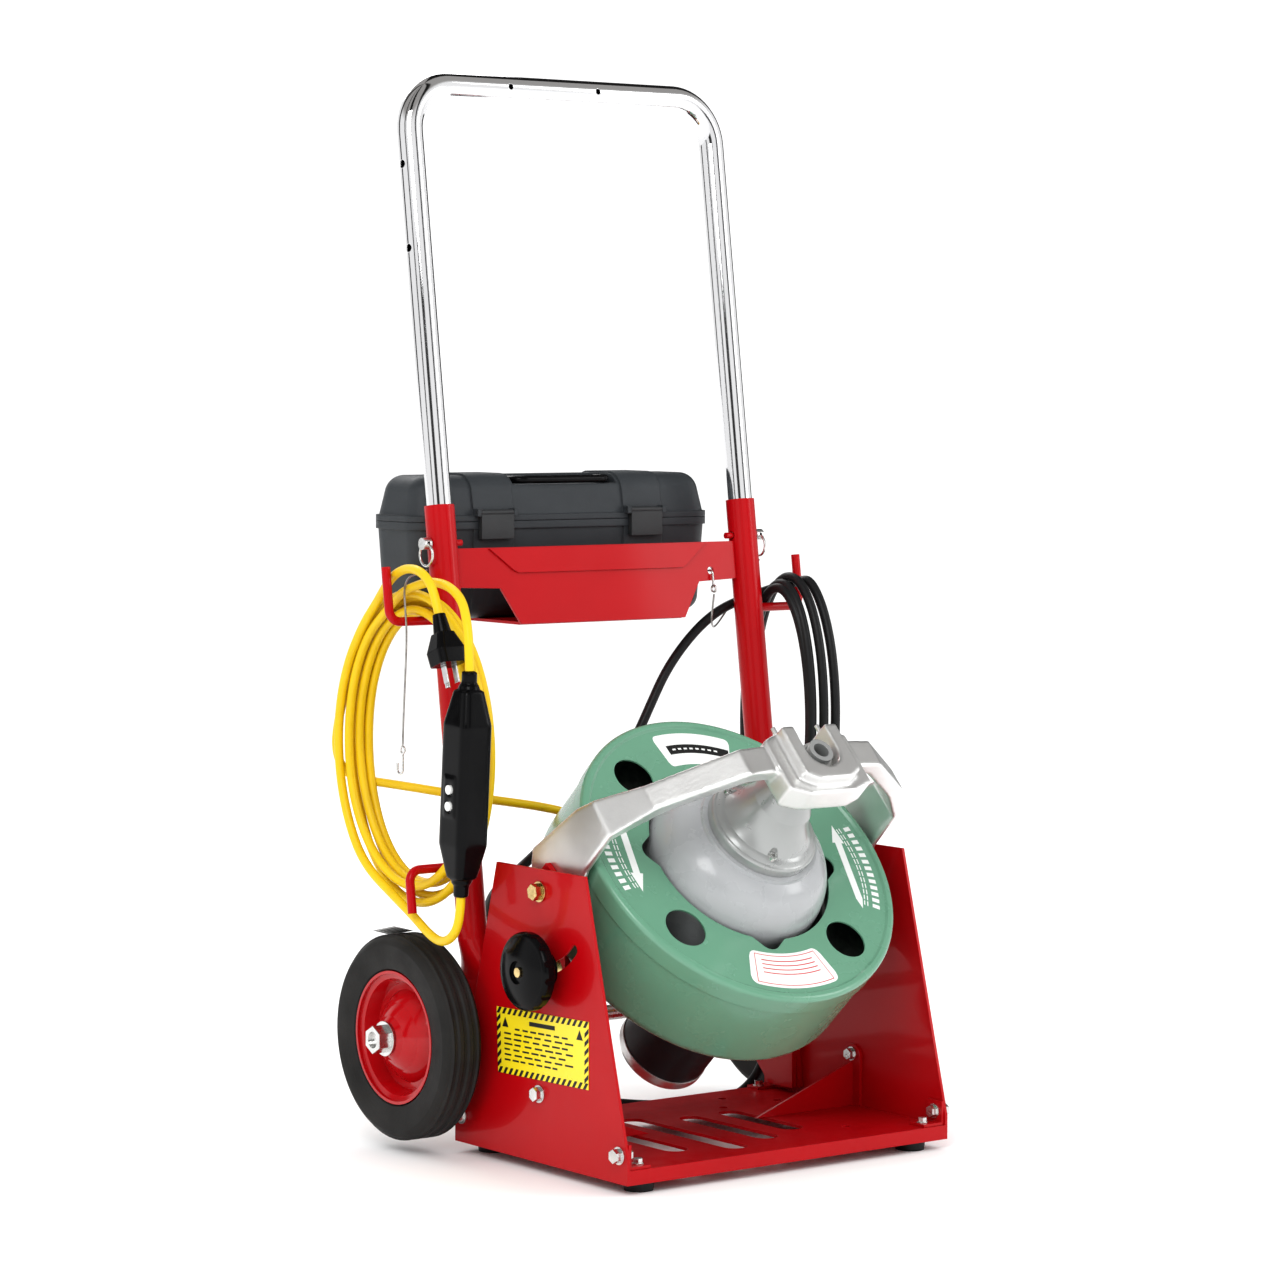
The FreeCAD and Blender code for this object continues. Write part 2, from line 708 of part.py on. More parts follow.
def make_drum_cover():
    """Front cover: rolled rim, recessed face with a square-cornered mouth and four round openings."""
    face = "-4"
    body = turned_body("drum_cover", [
        ("dim.drum_mouth", face), (161, face), (165, "-1.9"), ("dim.drum_radius - dim.drum_gauge", "-2"),
        ("dim.drum_radius - dim.drum_gauge", -22), ("dim.drum_radius", -22), ("dim.drum_radius", -5),
        ("dim.drum_radius - 5", "0", 5), (164.5, 0), (162, "-2"), ("dim.drum_mouth", "-2"),
    ])
    mouth_half = 82
    corner = 12

    def mouth(sketch):
        angle = math.radians(80)
        reach = mouth_half * math.sqrt(2)
        corners = []
        for k in range(4):
            tip = angle + k * math.pi / 2
            for turn_side in (-1, 1):
                edge_way = tip + turn_side * (math.pi - math.pi / 4)
                x = reach * math.cos(tip) + corner * math.cos(edge_way)
                y = reach * math.sin(tip) + corner * math.sin(edge_way)
                if turn_side < 0:
                    corners.append((x, y))
                else:
                    corners.append((x, y, corner))
        add_outline(sketch, corners)

    pocket_through(body, "drum_mouth_corners", "XY_Plane", mouth)

    def hole(sketch):
        angle = math.radians(35)
        add_circle(sketch, 130 * math.cos(angle), 130 * math.sin(angle), 21.5)

    opening = pocket_through(body, "drum_opening", "XY_Plane", hole)
    pattern = body.newObject("PartDesign::PolarPattern", "drum_openings")
    pattern.Originals = [opening]
    axis = next(item for item in body.Origin.OriginFeatures if item.Role == "Z_Axis")
    pattern.Axis = (axis, [""])
    pattern.Angle = 360
    pattern.Occurrences = 4
    body.Tip = pattern
    keep(body, "drum_cover", DRUM)


def make_drum_body():
    """Deep-drawn drum shell with a flat back."""
    outer = "dim.drum_radius - dim.drum_gauge"
    inner = "dim.drum_radius - 2 * dim.drum_gauge"
    body = turned_body("drum_body", [
        ("26", "-dim.drum_length"), (f"{outer} - 14", "-dim.drum_length"),
        (outer, "-dim.drum_length + 14", 14), (outer, "-22.5"), (outer, "-5"), (inner, "-5"),
        (inner, "-dim.drum_length + 14"), (f"{outer} - 14", "-dim.drum_length + dim.drum_gauge", -12),
        ("26", "-dim.drum_length + dim.drum_gauge"),
    ])
    keep(body, "drum_body", DRUM)


def make_drum_pulley():
    """Drum shaft with its flange and the grooved pulley behind the drum."""
    back = -size("drum_length")
    body = turned_body("drum_pulley", [
        (0, back - 36), (9.92, back - 36), (9.92, back - 17), (40, back - 17), (42, back - 15.5),
        (31, back - 9.5), (42, back - 3.5), (40, back - 2), (50, back - 2), (50, back), (25.5, back),
        (25.5, back + 6), (16, back + 6), (9.92, back + 8), (9.92, back + 92), (0, back + 92),
    ])
    keep(body, "drum_pulley", DRUM)


def make_snake_cable():
    """Wound drain cable: one closed ring that holds the windings between hub and drum wall."""
    ring = turned_body("snake_cable", [
        (108, -110), (152, -110), (164, -98, 13), (165, -44), (158, -36, 8), (118, -36), (108, -46, 10),
    ])
    keep(ring, "snake_cable", DRUM)


def make_hub_cone():
    """Grey domed distributor hub that turns inside the drum on its own shaft end."""
    radius = "dim.hub_radius"
    body = turned_body("hub_cone", [
        (f"{radius} - 4", -104), (radius, -104), (radius, -14), (86, 18, 60), (63, 37, 46), (62, 41),
        (30, 41), (30, 37), (59, 36.5), (82, 17, -43), (f"{radius} - 4", -14, -56),
    ])
    keep(body, "hub_cone", DRUM)


def screw_places():
    """Centres of the three hub screws, in the drum's X and Y."""
    angles = [math.radians(7 + 120 * k) for k in range(3)]
    return [(46 * math.cos(angle), 46 * math.sin(angle)) for angle in angles]


def make_trumpet():
    """Flared casting bolted on the hub; its neck is the cable outlet that turns in the front block."""
    neck = "dim.neck_radius"
    bore = "8"
    body = turned_body("trumpet", [
        (10, -44), (13, -44), (13, 40), (26, 41), ("dim.trumpet_flange", 41), ("dim.trumpet_flange", 49),
        (54, 52, 4), (47, 57, 20), (31, 88, -70), (neck, 124, -110), (neck, 138), (12.95, 138),
        (12.95, "dim.outlet_reach"), (bore, "dim.outlet_reach"), (bore, 132), (10, 60),
    ])

    def screw_holes(sketch):
        for x, y in screw_places():
            add_circle(sketch, x, y, 5)

    pocket_through(body, "trumpet_screw_holes", "XY_Plane", screw_holes)
    keep(body, "trumpet", DRUM)


def make_hub_screws():
    """Three socket screws that hold the trumpet's flange on the hub."""
    screws = []
    for x, y in screw_places():
        head = rod((x, y, 41), (x, y, 59), 4.95)
        screws.append(head.cut(hexagon((x, y, 55.5), Z_AXIS, 4.4, 4)))
    feature("hub_screws", Part.makeCompound(screws), DRUM)


# ---------------------------------------------------------------- tilting cradle (drum frame)


ARM_OUTER = 182.6
ARM_PLAN = [(ARM_OUTER, -104), (ARM_OUTER, 46), (155, 88), (80, 150), (48, 152)]
ARM_PLAN_INNER = [(48, 134), (74, 132), (143, 76), (175.6, 38), (175.6, -104)]
ARM_SIDE = [
    (-104, -20), (-96, 44), (-62, 74), (20, 58), (88, 30), (150, 20), (160, 20), (160, -12), (150, -11),
    (88, 1), (40, 5), (-9, 4), (-46, -10), (-60, -22),
]


def make_yoke():
    """Cast arms that reach from the pivots around the drum to the front block that holds the outlet."""
    side_profile = prism([(up, along) for along, up in ARM_SIDE], "x", -200, 200)
    arms = []
    for side, _ in SIDES:
        plan = [(side * x, along) for x, along in ARM_PLAN + ARM_PLAN_INNER]
        plan_band = prism(plan, "y", -60, 90)
        arms.append(plan_band.common(side_profile))
    tower = prism([(-50, -34), (-28, -42), (28, -42), (50, -34), (50, 24), (36, 30), (-36, 30), (-50, 24)],
                  "z", 128, 156)
    snout = prism([(-34, -26), (-20, -34), (20, -34), (34, -26), (34, 30), (-34, 30)], "z", 150, 168)
    yoke = joined([tower, snout] + arms)
    notch_floor = rod((0, 0, 120), (0, 0, 180), 19)
    notch = block((-19, 0, 120), (19, 60, 180))
    clear_neck = rod((0, 0, 100), (0, 0, 138.2), 21)
    pivot = rod((-300, 20.9, -59.6), (300, 20.9, -59.6), size("pivot_radius") + 0.02)
    stud = rod((-300, -41.1, -101), (0, -41.1, -101), 4.9)
    yoke = yoke.cut(notch_floor.fuse(notch)).cut(clear_neck).cut(pivot).cut(stud)
    feature("yoke", yoke, DRUM)


def make_outlet_block():
    """Front bearing block between the cheeks of the yoke, with a spring clip's two prongs."""
    nose = rod((0, 0, 150), (0, 0, 158), 15.6)
    shell = joined([rod((0, 0, 139), (0, 0, 150), 19), block((-19, 0, 139), (19, 14, 150)), nose])
    bush = shell.cut(rod((0, 0, 100), (0, 0, 200), 13.03))
    prongs = [rod((side * 27, 30, 150), (side * 27, 41, 150), 2.2) for side in (-1, 1)]
    feature("outlet_block", Part.makeCompound([bush] + prongs), DRUM)


def make_rear_bracket():
    """Steel strap behind the drum with side cheeks at the pivots, and the drum's rear bearing."""
    back = -size("drum_length")
    strap = block((-189, -14, back - 36), (189, 44, back - 30))
    cheeks = []
    for side in (-1, 1):
        near, far = sorted((side * 183, side * 189))
        outline = [
            (-56, back + 2), (-56, back - 8), (-14, back - 36), (44, back - 36), (44, -46), (4, -38),
            (-20, -70),
        ]
        cheeks.append(prism(outline, "x", near, far))
    boss = rod((0, 0, back - 36), (0, 0, back - 26), 22)
    motor_seat = block((-46, -112, back - 36), (46, -10, back - 30))
    bracket = joined([strap, boss, motor_seat] + cheeks)
    bearing = rod((0, 0, back - 60), (0, 0, back + 10), 10.0)
    pivot = rod((-300, 20.9, -59.6), (300, 20.9, -59.6), size("pivot_radius") + 0.02)
    stud = rod((-300, -41.1, -101), (0, -41.1, -101), 4.9)
    shaft_gap = rod((0, MOTOR_DROP, back - 60), (0, MOTOR_DROP, back + 10), 14)
    bracket = bracket.cut(bearing).cut(pivot).cut(stud).cut(shaft_gap)
    feature("rear_bracket", bracket, DRUM)


MOTOR_DROP = -66


def make_cradle_bolts():
    """Pivot bolts through both side plates with spacers, and the stud of the tilt lock."""
    outside = size("base_width") / 2
    radius = size("pivot_radius")
    shapes = []
    for side in (-1, 1):
        way = point(side, 0, 0)
        centre = (side * (outside + 0.3), 20.9, -59.6)
        shank = rod((side * 176, 20.9, -59.6), (side * (outside + 1), 20.9, -59.6), radius)
        spacer = rod((side * 189, 20.9, -59.6), (side * 196.6, 20.9, -59.6), 12)
        shapes.append(joined([shank, bolt(centre, way, 14), spacer]))
    knob_stud = rod((-183, -41.1, -101), (-(outside + 36), -41.1, -101), 4.8)
    shoulder = rod((-189, -41.1, -101), (-196.6, -41.1, -101), 9)
    shapes.append(joined([knob_stud, shoulder]))
    feature("cradle_bolts", Part.makeCompound(shapes), DRUM)


def make_knob():
    """Domed handwheel of the tilt lock, turned about its stud; local Z points outward."""
    stud = 4.9
    body = turned_body("knob", [
        (stud, 1), (18, 1), (18, 8), (24, 14, 9), (32, 16), (38, 21, 5), (38, 26), (33, 31, 6),
        (11, 36.6, 60), (11, 33.6), (stud, 33.6),
    ])

    def scallop(sketch):
        add_circle(sketch, 40.5, 0, 4.2)

    notch = pocket_through(body, "knob_scallop", "XY_Plane", scallop)
    pattern = body.newObject("PartDesign::PolarPattern", "knob_scallops")
    pattern.Originals = [notch]
    axis = next(item for item in body.Origin.OriginFeatures if item.Role == "Z_Axis")
    pattern.Axis = (axis, [""])
    pattern.Angle = 360
    pattern.Occurrences = 14
    body.Tip = pattern
    out = FreeCAD.Placement(point(-size("base_width") / 2, -41.1, -101), FreeCAD.Rotation(Y_AXIS, -90))
    keep(body, "knob", DRUM.multiply(out))


def motor_frame():
    front = point(0, MOTOR_DROP, -size("drum_length") - 36)
    return DRUM.multiply(FreeCAD.Placement(front, FreeCAD.Rotation()))


def make_motor():
    """Motor behind the drum; local Z is its shaft, from the bracket (0) backwards (negative)."""
    housing = turned_body("motor_housing", [
        (15, -0.1), (40, -0.1), (46, -6, -6), (46, -76), (15, -76),
    ])
    keep(housing, "motor_housing", motor_frame())
    cap = turned_body("motor_end_cap", [(0, -76.1), (47, -76.1), (47, -84), (34, -94, -12), (0, -94)])
    keep(cap, "motor_end_cap", motor_frame())
    pulley = turned_body("motor_pulley", [
        (0, -30), (7, -30), (7, 19.4), (18, 20.4), (12, 26.5), (18, 32.6), (10, 33.4), (0, 33.4),
    ])
    keep(pulley, "motor_pulley", motor_frame())


def make_drive_belt():
    """V belt round the drum pulley and the motor pulley, clear of both grooves."""
    level = -size("drum_length") - 12
    drum_wrap, motor_wrap = 37.5, 16.2
    thickness = 4.5

    def loop(grow):
        big, small = drum_wrap + grow, motor_wrap + grow
        lean = math.asin((big - small) / -MOTOR_DROP)
        arc_points = []
        for centre, radius in ((0, big), (MOTOR_DROP, small)):
            for side in (1, -1):
                height = centre - radius * math.sin(lean)
                arc_points.append(point(side * radius * math.cos(lean), height, level))
        big_right, big_left, small_right, small_left = arc_points
        edges = [
            Part.Arc(big_right, point(0, big, level), big_left).toShape(),
            Part.LineSegment(big_left, small_left).toShape(),
            Part.Arc(small_left, point(0, MOTOR_DROP - small, level), small_right).toShape(),
            Part.LineSegment(small_right, big_right).toShape(),
        ]
        return Part.Face(Part.Wire(edges))

    width = point(0, 0, 5)
    feature("drive_belt", loop(thickness).extrude(width).cut(loop(0).extrude(width)), DRUM)


BOX_HALF = 34
FITTING_END = 54
LEAD_END = 68
FITTING_HEIGHT, FITTING_PLACE = 71, -45


def make_switch_box():
    """Box on the motor with the reversing switch, a cord gland on its right and a hose barb on its left."""
    height, place = FITTING_HEIGHT, FITTING_PLACE
    box = block((-BOX_HALF, 40, -74), (BOX_HALF, 84, -16))
    saddle = rod((0, 0, -100), (0, 0, 10), 46)
    slot = block((-4.2, 78, place - 11), (4.2, 90, place + 11))
    bearing = rod((-8, 81, place), (8, 81, place), 2.08)
    feature("switch_box", box.cut(saddle).cut(slot).cut(bearing), motor_frame())
    lever = rod((0, 80, place), (0, 97, place), 2.6)
    trunnion = rod((-7.5, 81, place), (7.5, 81, place), 2)
    feature("switch_lever", joined([lever, trunnion]), motor_frame())
    fittings = []
    for side, root_radius, tip_radius in ((1, 9.5, 7.5), (-1, 7, 5.5)):
        fittings.append(joined([
            rod((side * BOX_HALF, height, place), (side * (BOX_HALF + 8), height, place), root_radius),
            rod((side * BOX_HALF, height, place), (side * FITTING_END, height, place), tip_radius),
        ]))
    feature("motor_fittings", Part.makeCompound(fittings), motor_frame())
    leads = [
        rod((side * FITTING_END, height, place), (side * LEAD_END, height, place), radius)
        for side, radius in ((1, size("cord_radius")), (-1, size("hose_radius")))
    ]
    feature("cradle_leads", Part.makeCompound(leads), motor_frame())


# ---------------------------------------------------------------- accessory case


def case_block(low, high, grow, front_low, front_high):
    """Tapered box of the case between two heights, grown outwards by a margin."""
    half = size("case_width") / 2 + grow
    back = size("case_front") + size("case_depth") + grow
    places = []
    for height, inset in ((low, front_low), (high, front_high)):
        front = size("case_front") - grow + inset
        ring = [
            point(-half + inset, front, height), point(half - inset, front, height),
            point(half - inset, back - inset, height), point(-half + inset, back - inset, height),
        ]
        places.append(Part.makePolygon(ring + ring[:1]))
    return Part.makeLoft(places, True, True)


def rounded_uprights(shape, radius):
    """Rounds the four steep edges of a tapered box."""
    steep = [edge for edge in shape.Edges if abs(edge.tangentAt(edge.FirstParameter).z) > 0.8]
    return shape.makeFillet(radius, steep)


LATCH_PLACE = 95
HINGE_PLACE = 110


def hinge_knuckles(seam, part_side):
    """Rear hinge: a bored knuckle on the bottom (-1), or two knuckles with the pin on the lid (1)."""
    back = size("case_front") + size("case_depth")
    axis_y = back + 3.5
    pieces = []
    for middle in (-HINGE_PLACE, HINGE_PLACE):
        if part_side < 0:
            spans = [(middle - 8, middle + 8)]
        else:
            spans = [(middle - 18, middle - 8.3), (middle + 8.3, middle + 18)]
            pieces.append(rod((middle - 18, axis_y, seam), (middle + 18, axis_y, seam), 1.5))
        for start, end in spans:
            barrel = rod((start, axis_y, seam), (end, axis_y, seam), 3.4)
            near, far = sorted((seam + part_side * 0.4, seam + part_side * 6))
            leaf = block((start, back - 2.5, near), (end, axis_y, far))
            piece = joined([barrel, leaf])
            if part_side < 0:
                piece = piece.cut(rod((start, axis_y, seam), (end, axis_y, seam), 1.58))
            pieces.append(piece)
    return pieces


def rounded_rim(shape, height, radius):
    """Rounds the edges that lie level at a height."""
    level = [
        edge for edge in shape.Edges if max(abs(vertex.Z - height) for vertex in edge.Vertexes) < 0.01
    ]
    return shape.makeFillet(radius, level)


def strap_bands(shape):
    """The parts of a grown case shape that stand proud as straps beside the latches."""
    near, far = LATCH_PLACE - 25, LATCH_PLACE + 25
    bands = [block((middle, 300, 0), (middle + far - near, 600, 900)) for middle in (-far, near)]
    return [shape.common(band) for band in bands]


def make_case():
    floor, seam, top = size("case_floor"), size("case_seam"), size("case_top")
    wall = size("case_wall")
    inset = 5
    gap = 0.4
    low_round, top_round = 16, 20
    strap = 1.8
    outer = rounded_rim(rounded_uprights(case_block(floor, seam - gap, -2, inset, 0), 22), floor, low_round)
    inner = rounded_uprights(case_block(floor + wall, seam + 5, -2 - wall, inset, 0), 19)
    inner = rounded_rim(inner, floor + wall, low_round - wall)
    lip = rounded_uprights(case_block(seam - 8, seam - gap, 0, 0, 0), 24)
    low_straps = rounded_uprights(case_block(floor, seam - gap, -2 + strap, inset, 0), 23)
    low_straps = rounded_rim(low_straps, floor, low_round)
    bottom = outer.multiFuse([lip] + strap_bands(low_straps)).cut(inner).multiFuse(hinge_knuckles(seam, -1))
    feature("case_bottom", bottom.removeSplitter(), UPRIGHT)

    lid_outer = rounded_uprights(case_block(seam, top, -2, 0, inset + 3), 22)
    lid_outer = rounded_rim(lid_outer, top, top_round)
    lid_inner = rounded_uprights(case_block(seam - 5, top - wall, -2 - wall, 0, inset + 3), 19)
    lid_inner = rounded_rim(lid_inner, top - wall, top_round - wall)
    lid_lip = rounded_uprights(case_block(seam, seam + 6, 0, 0, 0), 24)
    top_straps = rounded_uprights(case_block(seam, top + strap, -2 + strap, 0, inset + 3), 23)
    top_straps = rounded_rim(top_straps, top + strap, top_round + strap)
    lid = lid_outer.multiFuse([lid_lip] + strap_bands(top_straps)).cut(lid_inner)
    front = size("case_front")
    recess = block((-66, front - 5, top - 10), (66, front + 46, top + 5))
    liner = block((-70, front - 5, top - 13), (70, front + 49, top + 5)).common(lid_outer)
    sockets = rod((-68.6, front + 36, top - 5), (68.6, front + 36, top - 5), 2.58)
    lugs = []
    for middle in (-LATCH_PLACE, LATCH_PLACE):
        for side in (-1, 1):
            near, far = sorted((middle + side * 20.3, middle + side * 25))
            lug = block((near, front - 6, seam + 5), (far, front + 4, seam + 12.5))
            lugs.append(lug.cut(rod((near, front - 3.2, seam + 9), (far, front - 3.2, seam + 9), 1.28)))
    lid = lid.multiFuse([liner] + lugs + hinge_knuckles(seam, 1)).cut(recess).cut(sockets)
    feature("case_lid", lid.removeSplitter(), UPRIGHT)

    for side, side_name in SIDES:
        middle = side * LATCH_PLACE
        plate = block((middle - 20, front - 6, seam - 18), (middle + 20, front - 0.4, seam + 7))
        barrel = rod((middle - 20, front - 3.2, seam + 9), (middle + 20, front - 3.2, seam + 9), 2.8)
        pin = rod((middle - 25, front - 3.2, seam + 9), (middle + 25, front - 3.2, seam + 9), 1.2)
        feature("latch_" + side_name, joined([plate, barrel, pin]), UPRIGHT)


def make_case_handle():
    """Carry handle that folds flat in the recess of the lid, on two short pins."""
    level = size("case_top") - 5
    front = size("case_front") + 12
    back = front + 24
    bar = bent_rod([(-58, back, level), (-58, front, level), (58, front, level), (58, back, level)], 10, 4)
    pins = [rod((side * 58, back, level), (side * 68.4, back, level), 2.5) for side, _ in SIDES]
    ends = [Part.makeSphere(4, point(side * 58, back, level)) for side, _ in SIDES]
    feature("case_handle", joined([bar] + ends + pins), UPRIGHT)


# ---------------------------------------------------------------- power cord


COIL_NEAR, COIL_FAR = 209, 243


def oval_ring(side, centre_y, centre_z, half_y, half_z, thick):
    """Closed solid of a hanging coil: an oval ring beside a frame tube, extruded across X."""

    def oval(grow):
        curve = Part.Ellipse(point(0, 0, 0), half_z + grow, half_y + grow)
        return Part.Face(Part.Wire(curve.toShape())).extrude(point(0, 0, COIL_FAR - COIL_NEAR))

    standing = FreeCAD.Placement(
        point(side * COIL_NEAR, centre_y, centre_z),
        FreeCAD.Rotation(Z_AXIS, Y_AXIS * -side, X_AXIS * side, "ZXY"),
    )
    return oval(0).cut(oval(-thick)).transformed(standing.toMatrix(), True)


def lead_tip(side):
    """Where the cord or hose on the cradle ends, at a switch box fitting (upright frame)."""
    to_upright = UPRIGHT.inverse().multiply(motor_frame())
    return tuple(to_upright.multVec(point(side * LEAD_END, FITTING_HEIGHT, FITTING_PLACE)))


def loop_behind_motor(side, reach):
    """Corners of the loop that takes a cord from its lead outwards, round and back behind the drum."""
    start = lead_tip(side)
    corners = [start]
    for run, rise in ((reach, 0), (reach + 31, 18), (reach + 48, 49), (reach + 48, 85), (reach + 30, 116)):
        corners.append((start[0] + side * run, start[1] + LOOP_BACK * rise, start[2] + LOOP_UP * rise))
    return corners


LOOP_BACK, LOOP_UP = 0.78, 0.62


def make_power_cord():
    """Yellow mains lead: the run from motor to coil, the coil, and its leads to interrupter and plug."""
    radius = size("cord_radius")
    coil = oval_ring(-1, 310, 399, 127, 163, 32)
    feature("power_cord_coil", coil, UPRIGHT)
    run = loop_behind_motor(1, 36) + [
        (104, 328, 254), (72, 333, 270), (42, 334, 287), (12, 333, 305), (-24, 331, 320), (-62, 330, 329),
        (-102, 330.5, 336), (-138, 335, 342), (-168, 352, 348), (-192, 377, 353), (-214, 411, 357),
    ]
    feature("power_cord_run", tube_along("power_cord_run", run, radius).cut(coil), UPRIGHT)
    upper_lead = [
        (-262, 170.2, 484.8), (-262, 168.1, 518.7), (-255, 186.3, 547.4), (-244, 217.9, 559.9),
        (-233, 250.8, 551.4), (-226, 272.5, 525.2),
    ]
    lower_lead = [
        (-262, 183.8, 267.2), (-262, 185.3, 243.2), (-262, 199.9, 224.2), (-257, 222.7, 216.6),
        (-250, 245.8, 223.1), (-242, 261.4, 241.4), (-234, 273.4, 262),
    ]
    plug_lead = [
        (-262, 221.7, 536.1), (-262, 230.2, 560.2), (-261, 250.8, 575.5), (-257.5, 278.3, 576.3),
        (-252, 307, 567), (-236, 338, 540),
    ]
    leads = [
        tube_along(name, route, radius).cut(coil)
        for name, route in (("upper_lead", upper_lead), ("lower_lead", lower_lead), ("plug_lead", plug_lead))
    ]
    feature("power_cord_leads", Part.makeCompound(leads), UPRIGHT)


def rounded_rectangle(half_x, half_y, corner, height):
    """Closed outline of a rectangle with round corners, centred on Z at a height."""
    edges = []
    start = None
    for k, (sx, sy) in enumerate(((1, -1), (1, 1), (-1, 1), (-1, -1))):
        centre = point(sx * (half_x - corner), sy * (half_y - corner), height)
        angle = math.radians(-90 + 90 * k)
        ends = [centre + point(math.cos(angle + t), math.sin(angle + t), 0) * corner
                for t in (0, math.pi / 4, math.pi / 2)]
        if start is None:
            first = ends[0]
        else:
            edges.append(Part.LineSegment(start, ends[0]).toShape())
        edges.append(Part.Arc(*ends).toShape())
        start = ends[2]
    edges.append(Part.LineSegment(start, first).toShape())
    return Part.Wire(edges)


INTERRUPTER = FreeCAD.Placement(point(-262, 177, 376), FreeCAD.Rotation(X_AXIS, 3.6))
BUTTON_PLACES = (("test_button", -4), ("reset_button", -20))


def make_interrupter():
    """Inline shock protector on the power cord; local Z runs along the cord, its buttons face left."""
    sections = ((-91, 12, 12, 6), (-58, 17.5, 20, 7), (58, 17.5, 20, 7), (91, 12, 12, 6))
    wires = [rounded_rectangle(x, y, corner, height) for height, x, y, corner in sections]
    body = Part.makeLoft(wires, True, True)
    for side in (-1, 1):
        body = body.fuse(rod((0, 0, side * 91), (0, 0, side * 96), 10))
        body = body.fuse(rod((0, 0, side * 96), (0, 0, side * 109), 7.5))
    pad = block((-18.5, -9, -30), (-10, 9, 8))
    body = body.fuse(pad)
    for _, height in BUTTON_PLACES:
        body = body.cut(rod((-30, 0, height), (-13, 0, height), 4.58))
    feature("interrupter", body, UPRIGHT.multiply(INTERRUPTER))
    for name, height in BUTTON_PLACES:
        button = rod((-20, 0, height), (-15, 0, height), 4.5)
        feature(name, button, UPRIGHT.multiply(INTERRUPTER))


def make_plug():
    """Three-blade plug that hangs from its lead; local Z points up along the lead."""
    collar = Part.makeCone(9, 6.2, 20, point(0, 0, 14))
    wires = [rounded_rectangle(x, y, corner, height)
             for height, x, y, corner in ((-16, 15, 13.5, 6), (-2, 16, 14, 6), (15, 9.5, 9.5, 5))]
    body = joined([Part.makeLoft(wires, True, True), collar])
    blades = [block((-0.8 + x, -3.2, -34), (0.8 + x, 3.2, -15)) for x in (-6.3, 6.3)]
    ground = rod((0, 8, -37), (0, 8, -15), 2.4)
    lean = FreeCAD.Placement(point(-262, 210.4, 504), FreeCAD.Rotation(X_AXIS, -19.4))
    plug = body.multiFuse(blades + [ground])
    feature("plug", plug, UPRIGHT.multiply(lean))


# ---------------------------------------------------------------- air hose and foot pedal


def make_air_hose():
    """Black air hose: run from the motor's barb to the coil, the coil, and the tail to the foot pedal."""
    radius = size("hose_radius")
    coil = oval_ring(1, 292, 403.5, 68, 160, 20)
    feature("air_hose_coil", coil, UPRIGHT)
    run = loop_behind_motor(-1, 36) + [
        (-104, 333, 254), (-72, 343, 269), (-40, 347, 289), (-10, 348, 312), (20, 347, 336), (48, 345, 362),
        (71, 344, 391), (88, 342, 424), (106, 341, 457), (130, 340, 486), (158, 338, 511), (187, 333, 528),
        (214, 323, 537),
    ]
    tail = [
        (210, 310, 262), (205, 303, 235), (203, 292, 200), (203, 285, 160), (203, 284, 120), (203.5, 286, 84),
        (203, 289, 51.6), (187.5, 295, 22.2), (160.8, 306, 5.2), (128, 317, 5.3), (98, 333, 5.2),
        (68, 353, 6.5), (34, 365, 12),
    ]
    barb = rod((PEDAL_RIGHT, 365, 12), (PEDAL_RIGHT + 14, 365, 12), 6)
    runs = [
        tube_along("air_hose_run", run, radius).cut(coil),
        tube_along("air_hose_tail", tail, radius).cut(coil).cut(barb),
    ]
    feature("air_hose_runs", Part.makeCompound(runs), UPRIGHT)


PEDAL_LEFT, PEDAL_RIGHT = -100, 20
PEDAL_FRONT, PEDAL_BACK = 335, 425


def make_foot_pedal():
    """Foot pedal on the floor behind the stand: a base with a bellows and a hinged treadle."""
    base = block((PEDAL_LEFT, PEDAL_FRONT, 0), (PEDAL_RIGHT, PEDAL_BACK, 14))
    cheeks = [block((x, PEDAL_BACK - 14, 14), (x + 4, PEDAL_BACK, 32)) for x in (PEDAL_LEFT, PEDAL_RIGHT - 4)]
    barb = rod((PEDAL_RIGHT, 365, 12), (PEDAL_RIGHT + 14, 365, 12), 6)
    base = joined([base, rod((-40, 375, 14), (-40, 375, 19), 20), barb] + cheeks)
    pin_hole = rod((PEDAL_LEFT - 5, PEDAL_BACK - 7, 25), (PEDAL_RIGHT + 5, PEDAL_BACK - 7, 25), 2.6)
    feature("foot_pedal", base.cut(pin_hole), UPRIGHT)
    plate = prism([(PEDAL_FRONT, 31), (PEDAL_BACK - 1, 29), (PEDAL_BACK - 1, 33), (PEDAL_FRONT, 36)],
                  "x", PEDAL_LEFT + 6, PEDAL_RIGHT - 6)
    knuckle = rod((PEDAL_LEFT + 6, PEDAL_BACK - 7, 25), (PEDAL_RIGHT - 6, PEDAL_BACK - 7, 25), 5)
    pin = rod((PEDAL_LEFT, PEDAL_BACK - 7, 25), (PEDAL_RIGHT, PEDAL_BACK - 7, 25), 2.52)
    feature("foot_treadle", joined([plate, knuckle, pin]), UPRIGHT)


# ---------------------------------------------------------------- lanyards


